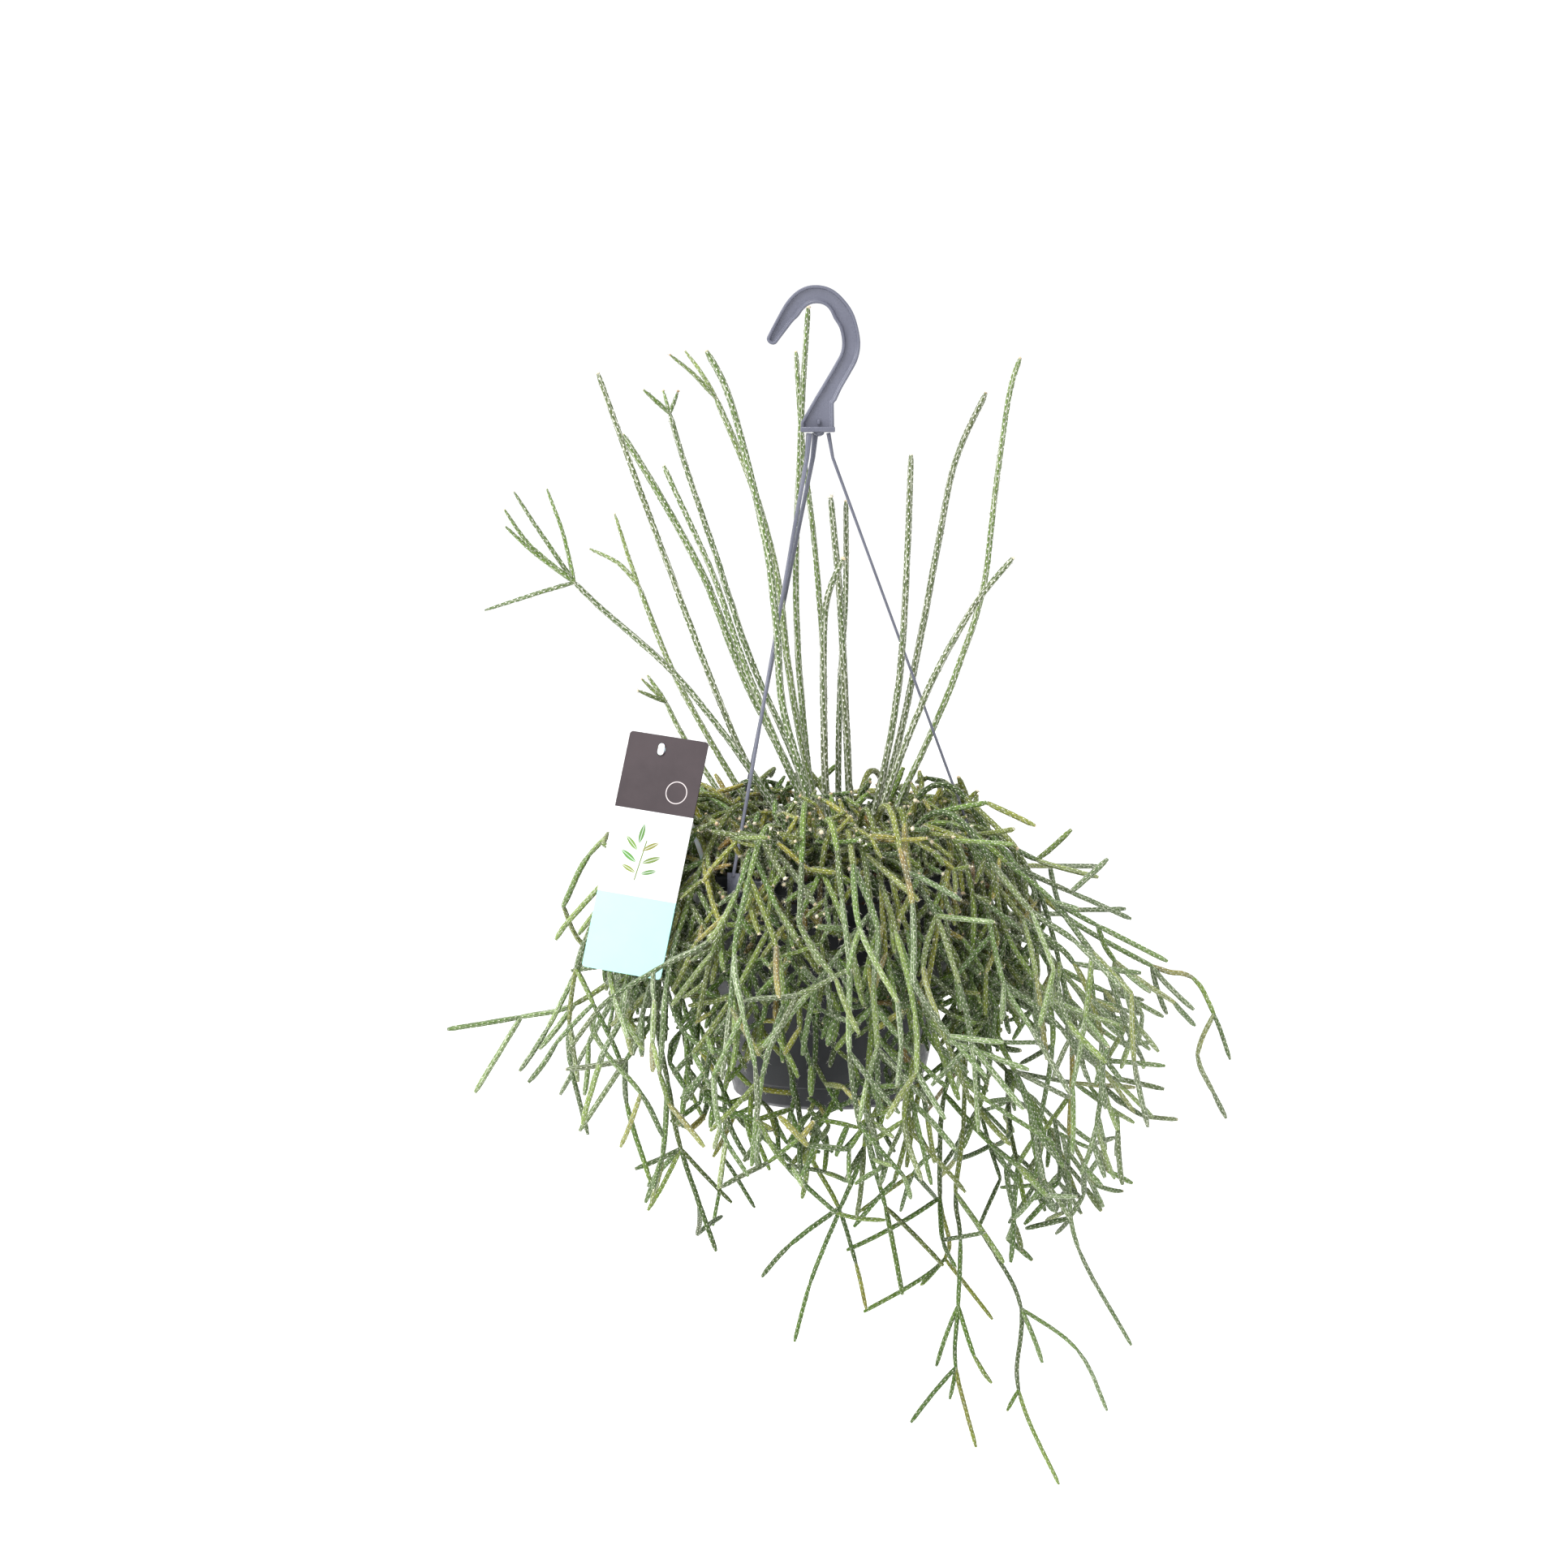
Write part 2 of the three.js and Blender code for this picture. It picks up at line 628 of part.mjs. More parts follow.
// The pot: floor with a foot ring, band, tapering wall and turned-over lip
function makePot() {
  const { wallTop, wallBase, wall, lipRadius, footRadius, edge } = pot;
  const baseTop = potBaseZ + pot.footHeight;
  const bandZ = potBaseZ + pot.bandHeight;
  const lipBase = pot.rimZ - pot.lipDepth;
  const underLip = pot.rimZ - pot.lipThick;
  const profile = [
    [0, baseTop], [footRadius - pot.footWidth, baseTop], [footRadius - pot.footWidth + edge, potBaseZ],
    [footRadius, potBaseZ], [wallBase - pot.chamfer, baseTop],
    [wallBase - pot.bandInset, bandZ - pot.bandStep], [wallBase, bandZ],
    [wallTop - pot.bandStep, underLip], [lipRadius - pot.lipSkirt - 0.3, underLip],
    [lipRadius - pot.lipSkirt, lipBase], [lipRadius - 0.2, lipBase], [lipRadius, pot.rimZ - edge],
    [lipRadius - edge, pot.rimZ], [wallTop - wall + edge / 2, pot.rimZ], [wallTop - wall, pot.rimZ - edge],
    [wallBase - wall, bandZ], [wallBase - wall - pot.floor, baseTop + pot.floor], [0, baseTop + pot.floor],
  ];
  let solid = toSolid(turnedBody(profile));
  const { drainRadius, drainDepth, drainSides } = pot;
  for (let n = 0; n < pot.drainHoles; n += 1) {
    const drill = new THREE.CylinderGeometry(drainRadius, drainRadius, drainDepth, drainSides);
    const place = aroundPot(pot.drainCircle, 2 * Math.PI * (n + 0.5) / pot.drainHoles, potBaseZ);
    drill.rotateX(Math.PI / 2).translate(place.x, place.y, place.z);
    solid = solid.subtract(toSolid(drill));
  }
  addPiece('pot', toGeometry(solid), finish(0x33383f, 0.45));
}

// The soil: it rests on the floor, follows the wall and has a plain hole for each root
function makeSoil(plants) {
  const floorZ = potBaseZ + pot.footHeight + pot.floor + clearance;
  const inner = pot.wallBase - pot.wall - clearance;
  const slope = (pot.wallTop - pot.wallBase) / (pot.rimZ - potBaseZ - pot.bandHeight);
  const topRadius = pot.wallTop - pot.wall - 2 * clearance - slope * (pot.rimZ - soil.topZ);
  const profile = [
    [0, floorZ], [inner - pot.floor, floorZ], [inner, potBaseZ + pot.bandHeight], [topRadius, soil.topZ],
    [soil.shoulder, soil.topZ + soil.shoulderRise], [0, soil.topZ + soil.crownRise],
  ];
  let solid = toSolid(turnedBody(profile));
  for (const plant of plants) {
    const [root, neck] = plant.chains[0];
    const bottom = root.clone().addScaledVector(down, clearance);
    const top = neck.clone().addScaledVector(down, -soil.bore);
    const section = polygon(plant.sides, stem.radius + 2 * clearance);
    const hole = bentPrism([bottom, top], section, [1, 1], sideways);
    solid = solid.subtract(toSolid(hole));
  }
  addPiece('soil', toGeometry(solid), finish(0x3a2a1e, 0.95));
}

// The outline of a band along the hook's centre line, drawn in by an inset
function hookBand(line, inset) {
  const left = [];
  const right = [];
  line.forEach(([x, z, width], i) => {
    const [x0, z0] = line[Math.max(0, i - 1)];
    const [x1, z1] = line[Math.min(line.length - 1, i + 1)];
    const length = Math.hypot(x1 - x0, z1 - z0);
    const half = width / 2 - inset;
    left.push([x - half * (z1 - z0) / length, z + half * (x1 - x0) / length]);
    right.push([x + half * (z1 - z0) / length, z - half * (x1 - x0) / length]);
  });
  return [...left, ...right.reverse()];
}

function flatSolid(outline, depth) {
  const shape = new THREE.Shape(outline.map(([x, z]) => new THREE.Vector2(x, z)));
  const slab = new THREE.ExtrudeGeometry(shape, { depth, bevelEnabled: false });
  slab.translate(0, 0, -depth / 2);
  slab.rotateX(Math.PI / 2);
  return slab;
}

// The hook: a band with a thin web between raised edges, and the yoke that carries the arms
function makeHook() {
  const { line, nose, flare, yoke, thickness } = hook;
  const [tipX, tipZ, tipWidth] = line[0];
  const tip = [tipX - nose.reach, tipZ - nose.drop, tipWidth * nose.narrow];
  const [shankX, shankZ, shankWidth] = line[line.length - 1];
  const half = shankWidth * flare.half;
  const cheeks = [
    [shankX - half, shankZ + flare.lean], [shankX + half, shankZ - flare.lean], [yoke.right, yoke.topZ],
    [yoke.right, yoke.footZ], [yoke.left, yoke.footZ], [yoke.left, yoke.topZ - flare.cheek],
  ];
  const base = new THREE.BoxGeometry(yoke.right - yoke.left + 2 * yoke.lip, yoke.depth, yoke.base);
  base.translate((yoke.left + yoke.right) / 2, 0, yoke.footZ + yoke.base / 2);
  const band = flatSolid(hookBand([tip, ...line], 0), thickness);
  let solid = joined([band, flatSolid(cheeks, thickness), base]);
  for (const side of [-1, 1]) {
    const recess = flatSolid(hookBand(line, hook.flange), thickness - hook.web);
    recess.translate(0, side * thickness / 2, 0);
    solid = solid.subtract(toSolid(recess));
  }
  addPiece('hanger_hook', toGeometry(solid), finish(0x6d7280, 0.5));
}

// A clip outside the lip with a toe under it, as boxes turned about the pot's axis
function rimClip(turn, clip) {
  const inner = pot.lipRadius + clearance;
  const toeTop = pot.rimZ - pot.lipDepth - clearance;
  const { width, height, thickness, toe } = clip;
  const plate = new THREE.BoxGeometry(thickness, width, height);
  plate.translate(inner + thickness / 2, 0, toeTop - thickness + height / 2);
  const ledge = new THREE.BoxGeometry(toe + thickness / 2, width, thickness);
  ledge.translate(inner - toe / 2 + thickness / 4, 0, toeTop - thickness / 2);
  return [plate, ledge].map((piece) => piece.rotateZ(turn).translate(pot.axisX, 0, 0));
}

function strapLine(arm) {
  const turn = THREE.MathUtils.degToRad(arm.turn);
  const foot = aroundPot(pot.lipRadius + strap.anchorOut, turn, pot.rimZ + strap.anchorRise);
  return [vector(arm.top), vector(arm.bend), foot];
}

function makeStraps() {
  const scales = [strap.rootRadius, strap.bendRadius, strap.radius];
  for (const arm of strap.arms) {
    const bar = bentPrism(strapLine(arm), polygon(strap.sides, 1), scales, sideways);
    const clip = rimClip(THREE.MathUtils.degToRad(arm.turn), strap.clip);
    addPiece(arm.name, toGeometry(joined([bar, ...clip])), finish(0x5f6472, 0.5));
  }
}

// The label's own directions: across, along it downwards and out of its back
function tagFrame() {
  const across = vector(tag.across).normalize();
  const normal = new THREE.Vector3().crossVectors(across, vector(tag.down)).normalize();
  return { across, along: new THREE.Vector3().crossVectors(normal, across), normal };
}

function onTag(across, along, out) {
  const frame = tagFrame();
  const place = vector(tag.corner).addScaledVector(frame.across, across);
  return place.addScaledVector(frame.along, along).addScaledVector(frame.normal, out);
}

// Moves a shape from the label's own directions to its place
function setOnTag(geometry, across, along, out) {
  const frame = tagFrame();
  const place = onTag(across, along, out);
  const turn = new THREE.Matrix4().makeBasis(frame.across, frame.along, frame.normal);
  return geometry.applyMatrix4(turn).translate(place.x, place.y, place.z);
}

function makeTag() {
  const width = vector(tag.across).length();
  const height = vector(tag.down).length();
  const corners = [[0, 0], [width, 0], [width, height], [0, height]];
  const card = new THREE.Shape(corners.map(([x, y]) => new THREE.Vector2(x, y)));
  const hole = new THREE.Path();
  hole.absarc(tag.hole.across, tag.hole.down, tag.hole.radius, 0, 2 * Math.PI, true);
  card.holes.push(hole);
  const options = { depth: tag.thickness, bevelEnabled: false, curveSegments: tag.hole.sides };
  const slab = setOnTag(new THREE.ExtrudeGeometry(card, options), 0, 0, 0);
  addPiece('tag', toGeometry(toSolid(slab)), finish(0xe8efee, 0.6));
}

function stripLine() {
  const turn = THREE.MathUtils.degToRad(tagStrip.rimTurn);
  const foot = aroundPot(pot.lipRadius + clearance + tagStrip.thickness, turn, pot.rimZ - tagStrip.rimDrop);
  const behind = tag.thickness + clearance + tagStrip.thickness / 2;
  return [onTag(tag.hole.across, tag.hole.down - tagStrip.rise, behind), foot];
}

// The strip: a clip on the rim, a flat stem behind the label, and a peg with a long head through its hole
function makeTagStrip() {
  const { width, thickness, pegRadius, pegSides, headWidth, headLength } = tagStrip;
  const [halfWidth, half] = [width / 2, thickness / 2];
  const section = [[-halfWidth, -half], [halfWidth, -half], [halfWidth, half], [-halfWidth, half]];
  const flat = bentPrism(stripLine(), section, [1, 1], tagFrame().across);
  const reach = tag.thickness / 2 + clearance;
  const peg = new THREE.CylinderGeometry(pegRadius, pegRadius, 2 * (reach + half), pegSides);
  peg.rotateX(Math.PI / 2);
  const heads = [-1, 1].map((side) => (
    new THREE.BoxGeometry(headWidth, headLength, thickness).translate(0, 0, side * (reach + half))));
  const middle = tag.thickness / 2;
  const pieces = [peg, ...heads].map((piece) => setOnTag(piece, tag.hole.across, tag.hole.down, middle));
  const clip = rimClip(THREE.MathUtils.degToRad(tagStrip.rimTurn), tagStrip.clip);
  addPiece('tag_strip', toGeometry(joined([flat, ...pieces, ...clip])), finish(0xf2f3f5, 0.45));
}

// Marks the hanger, the label and its strip, which every stem keeps clear of
function markFittings() {
  const { keep } = stem;
  const inPlane = hook.line.map(([x, z]) => new THREE.Vector3(x, 0, z));
  const yokeFoot = new THREE.Vector3((hook.yoke.left + hook.yoke.right) / 2, 0, hook.yoke.footZ);
  markSolid(inPlane, keep.hook, 'hanger');
  markSolid([inPlane[inPlane.length - 1], yokeFoot], keep.yoke, 'hanger');
  for (const arm of strap.arms) markSolid(strapLine(arm), strap.rootRadius, 'hanger');
  for (const turn of [...strap.arms.map((arm) => arm.turn), tagStrip.rimTurn]) {
    for (const aside of [-2, 0, 2]) {
      const angle = THREE.MathUtils.degToRad(turn + aside);
      const top = aroundPot(pot.lipRadius + 1, angle, pot.rimZ + keep.clip);
      markSolid([top, aroundPot(pot.lipRadius + 1, angle, pot.rimZ - pot.lipDepth)], keep.clip, 'clip');
    }
  }
  const width = vector(tag.across).length();
  const height = vector(tag.down).length();
  const middle = tag.thickness / 2;
  for (let across = 0; across <= width; across += stem.beadStep) {
    markSolid([onTag(across, 0, middle), onTag(across, height, middle)], keep.tag, 'tag');
  }
  markSolid(stripLine(), keep.strip, 'tag_strip');
}

function makeStems(plants) {
  for (const plant of plants) {
    const tubes = plant.chains.map((chain, n) => stemTube(chain, plant.sides, n > 0));
    const material = finish(plant.sides === stem.uprightSides ? 0x7c9a66 : 0x5f7a45, 0.6);
    addPiece(plant.name, toGeometry(joined(tubes)), material);
  }
}

markFittings();
const plants = growPlants();
makePot();
makeSoil(plants);
makeHook();
makeStraps();
makeTag();
makeTagStrip();
makeStems(plants);

export default model;
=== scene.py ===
# Looks of a trailing rhipsalis in a hanging pot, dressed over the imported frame; metres, +Z up
import math

import bmesh
import bpy
from mathutils import Matrix, Vector


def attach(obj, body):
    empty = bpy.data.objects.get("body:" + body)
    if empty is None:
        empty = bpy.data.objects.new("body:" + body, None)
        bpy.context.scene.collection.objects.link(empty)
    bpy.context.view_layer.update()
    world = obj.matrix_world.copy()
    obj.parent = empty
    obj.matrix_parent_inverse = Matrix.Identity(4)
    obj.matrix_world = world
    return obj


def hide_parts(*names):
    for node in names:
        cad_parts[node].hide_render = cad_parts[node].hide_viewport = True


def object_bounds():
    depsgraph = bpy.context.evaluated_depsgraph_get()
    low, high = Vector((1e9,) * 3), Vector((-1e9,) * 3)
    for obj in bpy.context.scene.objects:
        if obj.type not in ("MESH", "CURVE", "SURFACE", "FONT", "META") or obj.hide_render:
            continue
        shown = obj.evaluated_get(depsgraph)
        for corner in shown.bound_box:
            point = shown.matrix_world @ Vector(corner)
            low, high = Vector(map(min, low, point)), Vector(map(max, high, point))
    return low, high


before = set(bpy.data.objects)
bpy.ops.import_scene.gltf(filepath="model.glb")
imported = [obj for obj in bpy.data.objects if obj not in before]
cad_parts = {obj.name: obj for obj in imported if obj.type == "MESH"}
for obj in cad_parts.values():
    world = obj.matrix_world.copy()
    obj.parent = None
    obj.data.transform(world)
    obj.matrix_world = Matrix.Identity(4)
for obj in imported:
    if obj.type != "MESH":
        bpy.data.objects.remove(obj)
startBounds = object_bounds()
scene = bpy.context.scene
mm = 0.001  # the plans below are in millimetres, from the seat of the hook

# The camera stands level with the hook and looks a little down
view = {"place": (-0.018, -2.2, 0.0), "pitch": 7.18, "lens": 87.56, "sensor": 36.0}


def makeCamera():
    lens = bpy.data.cameras.new("viewCamera")
    lens.lens = view["lens"]
    lens.sensor_width = view["sensor"]
    lens.clip_end = 30
    camera = bpy.data.objects.new("viewCamera", lens)
    camera.location = view["place"]
    camera.rotation_euler = (math.radians(90 - view["pitch"]), 0, 0)
    scene.collection.objects.link(camera)
    scene.camera = camera


makeCamera()
print("camera: set")


# A screen colour from 0 to 255 as the linear colour that shaders take
def paint(red, green, blue):
    parts = [value / 255 for value in (red, green, blue)]
    linear = [part / 12.92 if part <= 0.04045 else ((part + 0.055) / 1.055) ** 2.4 for part in parts]
    return (*linear, 1.0)


# Adds a node; an input takes a value or another node's output, and a setting takes a value
def addNode(tree, kind, inputs=None, **settings):
    node = tree.nodes.new(kind)
    for key, value in settings.items():
        setattr(node, key, value)
    for key, value in (inputs or {}).items():
        socket = node.inputs[key]
        if isinstance(value, bpy.types.NodeSocket):
            tree.links.new(value, socket)
        else:
            socket.default_value = value
    return node


# The one output that is wanted of a new node
def made(tree, kind, inputs, output, **settings):
    return addNode(tree, kind, inputs, **settings).outputs[output]


def calc(tree, operation, a, b=0.0, c=0.0):
    return made(tree, "ShaderNodeMath", {0: a, 1: b, 2: c}, 0, operation=operation)


def vectorCalc(tree, operation, a, b):
    return made(tree, "ShaderNodeVectorMath", {0: a, 1: b}, 0, operation=operation)


def scaled(tree, vector, factor):
    return made(tree, "ShaderNodeVectorMath", {0: vector, "Scale": factor}, 0, operation="SCALE")


def ease(tree, value, low, high, start=0.0, end=1.0):
    inputs = {"Value": value, "From Min": low, "From Max": high, "To Min": start, "To Max": end}
    return made(tree, "ShaderNodeMapRange", inputs, "Result", interpolation_type="SMOOTHSTEP")


def mixed(tree, share, a, b):
    return made(tree, "ShaderNodeMix", {0: share, 6: a, 7: b}, 2, data_type="RGBA")


def ramp(tree, value, stops):
    node = addNode(tree, "ShaderNodeValToRGB", {"Fac": value})
    elements = node.color_ramp.elements
    while len(elements) < len(stops):
        elements.new(0.5)
    for element, (place, color) in zip(elements, stops):
        element.position = place
        element.color = color
    return node.outputs["Color"]


def noise(tree, vector, scale, detail=2.0, rough=0.5):
    inputs = {"Vector": vector, "Scale": scale, "Detail": detail, "Roughness": rough}
    return addNode(tree, "ShaderNodeTexNoise", inputs)


def newMaterial(name, **constants):
    material = bpy.data.materials.new(name)
    material.use_nodes = True
    tree = material.node_tree
    shader = next(node for node in tree.nodes if node.type == "BSDF_PRINCIPLED")
    for key, value in constants.items():
        shader.inputs[key.replace("_", " ")].default_value = value
    return material, tree, shader


def surfacePlace(tree):
    return made(tree, "ShaderNodeTexCoord", {}, "Object")


def named(tree, name, output="Fac"):
    return made(tree, "ShaderNodeAttribute", {}, output, attribute_name=name)


def bump(tree, shader, height, strength, distance):
    inputs = {"Height": height, "Strength": strength, "Distance": distance}
    tree.links.new(made(tree, "ShaderNodeBump", inputs, "Normal"), shader.inputs["Normal"])


# A finished piece: a plain mesh at the origin that rides on the body and stands for its CAD node
def setPiece(name, mesh, materials, nodes):
    piece = bpy.data.objects.new(name, mesh)
    scene.collection.objects.link(piece)
    for material in materials:
        piece.data.materials.append(material)
    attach(piece, "root")
    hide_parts(*nodes)
    return piece


# Turns a helper object with modifiers into its final mesh and removes the helper
def settled(helper):
    graph = bpy.context.evaluated_depsgraph_get()
    graph.update()
    mesh = bpy.data.meshes.new_from_object(helper.evaluated_get(graph))
    helper.modifiers.clear()
    bpy.data.objects.remove(helper)
    return mesh


def helperObject(name, mesh):
    helper = bpy.data.objects.new(name, mesh)
    scene.collection.objects.link(helper)
    return helper


def smoothShade(mesh, angle=40):
    for polygon in mesh.polygons:
        polygon.use_smooth = True
    mesh.set_sharp_from_angle(angle=math.radians(angle))
    return mesh


# Small roundings on every sharp edge, and smooth shading in between
def softened(name, mesh, width, segments):
    helper = helperObject(name, mesh)
    bevel = helper.modifiers.new("rounding", "BEVEL")
    bevel.width = width
    bevel.segments = segments
    bevel.limit_method = "ANGLE"
    bevel.angle_limit = math.radians(35)
    return smoothShade(settled(helper))


def meshFrom(name, build):
    body = bmesh.new()
    build(body)
    bmesh.ops.recalc_face_normals(body, faces=body.faces)
    mesh = bpy.data.meshes.new(name)
    body.to_mesh(mesh)
    body.free()
    return mesh


# Points and directions as plain tuples
def plus(a, b, factor=1.0):
    return (a[0] + b[0] * factor, a[1] + b[1] * factor, a[2] + b[2] * factor)


def times(a, factor):
    return (a[0] * factor, a[1] * factor, a[2] * factor)


def apart(a, b):
    return (a[0] - b[0], a[1] - b[1], a[2] - b[2])


def length(a):
    return math.sqrt(a[0] * a[0] + a[1] * a[1] + a[2] * a[2])


def unit(a):
    return times(a, 1 / (length(a) or 1))


def cross(a, b):
    return (a[1] * b[2] - a[2] * b[1], a[2] * b[0] - a[0] * b[2], a[0] * b[1] - a[1] * b[0])


def toward(a, b, share):
    return (a[0] + (b[0] - a[0]) * share, a[1] + (b[1] - a[1]) * share, a[2] + (b[2] - a[2]) * share)


def distance(a, b):
    return length(apart(a, b))


def between(limits, share):
    return limits[0] + (limits[1] - limits[0]) * share


# A least value and a share of the extra above it
def atLeast(limits, share):
    return limits[0] + limits[1] * share


# How far a value has come from a start over a span, from 0 to 1
def shareOf(value, start, span):
    return max(0.0, min(1.0, (value - start) / span))


# Sizes of the pot, hanger and label
pot = {
    "axisX": 7, "rimZ": -322, "height": 137.5, "lipRadius": 87, "lipDepth": 8, "lipThick": 2.6,
    "lipSkirt": 1.2, "wallTop": 83, "wallBase": 58, "bandHeight": 14, "bandStep": 0.6, "bandInset": 1,
    "wall": 1.6, "footRadius": 51, "footWidth": 5, "footHeight": 2.5, "chamfer": 3.5, "floor": 2,
    "segments": 160, "drainHoles": 4, "drainRadius": 4, "drainCircle": 36,
}
potBaseZ = pot["rimZ"] - pot["height"]
soil = {"topZ": pot["rimZ"] - 12, "crownRise": 4, "rootDepth": 13, "neck": 5}
hook = {
    "thickness": 5.6, "web": 2.2, "flange": 2.1,
    "line": [
        (-25.6, -21.8, 6.4), (-19.6, -12.3, 8.3), (-12.7, -2.1, 10.1), (-6.4, 3.6, 10.6), (0, 5.3, 10.5),
        (6.8, 3.9, 10.2), (12.7, -0.9, 9.9), (17.6, -8.6, 10.1), (20.4, -20.7, 10.4), (19.4, -29.6, 10.5),
        (15.1, -38, 10.5), (10.3, -46.3, 10.6), (5.6, -55.2, 11.8),
    ],
    "left": -6.8, "right": 10.2, "footZ": -73.2, "depth": 11, "lip": 0.4, "base": 3.0,
    "nose": 2.9, "yoke": [(10.6, -56.6), (10.9, -72.8), (-8.1, -72.8), (-8.3, -67.6)],
    "bumps": [(-10.6, -6.4, 0.7, 3.2), (10.6, -8.6, 1.5, 4.5)],
}
strap = {
    "rootRadius": 1.9, "anchorOut": 2.3, "anchorRise": 1, "clip": (9, 13, 1.7, 3),
    "arms": [
        ("hanger_strap_right", 0, (7.4, 0, -73.8), (10, 0, -88)),
        ("hanger_strap_left_front", -127, (-3.6, -3.4, -73.8), (-5, -5, -88)),
        ("hanger_strap_left_back", 127, (0, 3.6, -73.8), (-1.4, 5.4, -88)),
    ],
}
label = {
    "corner": (-105, -52, -240), "across": (44.7, -17, -5), "down": (-31.9, -30.5, -129), "thickness": 0.8,
    "holeAcross": 21, "holeDown": 8, "holeRadius": 2.6,
}
strip = {"width": 3.4, "thickness": 1, "rise": 3, "rimTurn": -140, "rimDrop": 1, "clip": (5, 11, 1.4, 3)}
# Radii of the beads that keep the stems off the fittings
beadRadius = {"hook": 6, "yoke": 8, "clip": 3, "tag": 1.4, "tag_strip": 2.2}

# How the plant grows: the same rules and the same seed as the solids it covers
stem = {
    "radius": 2.5, "gap": 0.5, "beadStep": 3, "beadSlack": 0.7, "jointFree": 9, "wallFree": 1, "rootFree": 3,
    "uprightStep": 24, "trailingStep": 30,
}
growth = {
    "seed": 7, "arcParts": 4, "arcTries": 40, "rounds": 8, "longest": 50, "shortest": 28, "tries": 9,
    "shorten": 0.04, "roots": (34, 50, 65), "crownRise": (22, 46), "skirtScale": (0.8, 1.06),
    "arcShift": 0.8, "arcRetry": 3, "rootShift": 4, "arcTwist": 0.35, "arcPeak": 0.4, "arcFoot": 0.55,
    "wander": (0.12, 0.1), "pull": 0.35, "aheadTurn": (0.15, 0.35), "asideTurn": (0.5, 0.5),
    "forking": 0.45, "forkTurn": 2.2, "sideLife": 3.2, "sideDrop": 0.5, "sideSpread": (0.3, 0.5),
    "steepest": 0.6, "steepen": 0.03, "calm": 0.8, "secondTurn": 0.7, "secondLife": 4,
    "crownTwigs": 0.85, "twigTurn": (0.6, 0.5), "twigLife": 2.4, "twigDrop": 0.12, "twigLevel": 10,
    "twigSpread": 0.4,
    "habits": [
        {"count": 9, "from": 0, "arc": 360, "life": 8, "drop": 0.45, "flare": (-0.1, 0.2), "out": (95, 103),
         "up": (0, 12)},
        {"count": 9, "from": 20, "arc": 360, "life": 7, "drop": 0.22, "flare": (0.2, 0.9), "out": (99, 118),
         "up": (4, 24)},
        {"count": 5, "from": -140, "arc": 100, "life": 7, "drop": 0.4, "flare": (-0.3, 0.1),
         "out": (112, 128), "up": (6, 24)},
    ],
}
skirt = {"x": 22, "z": -420, "radiusX": 205, "radiusY": 178, "radiusZ": 160}

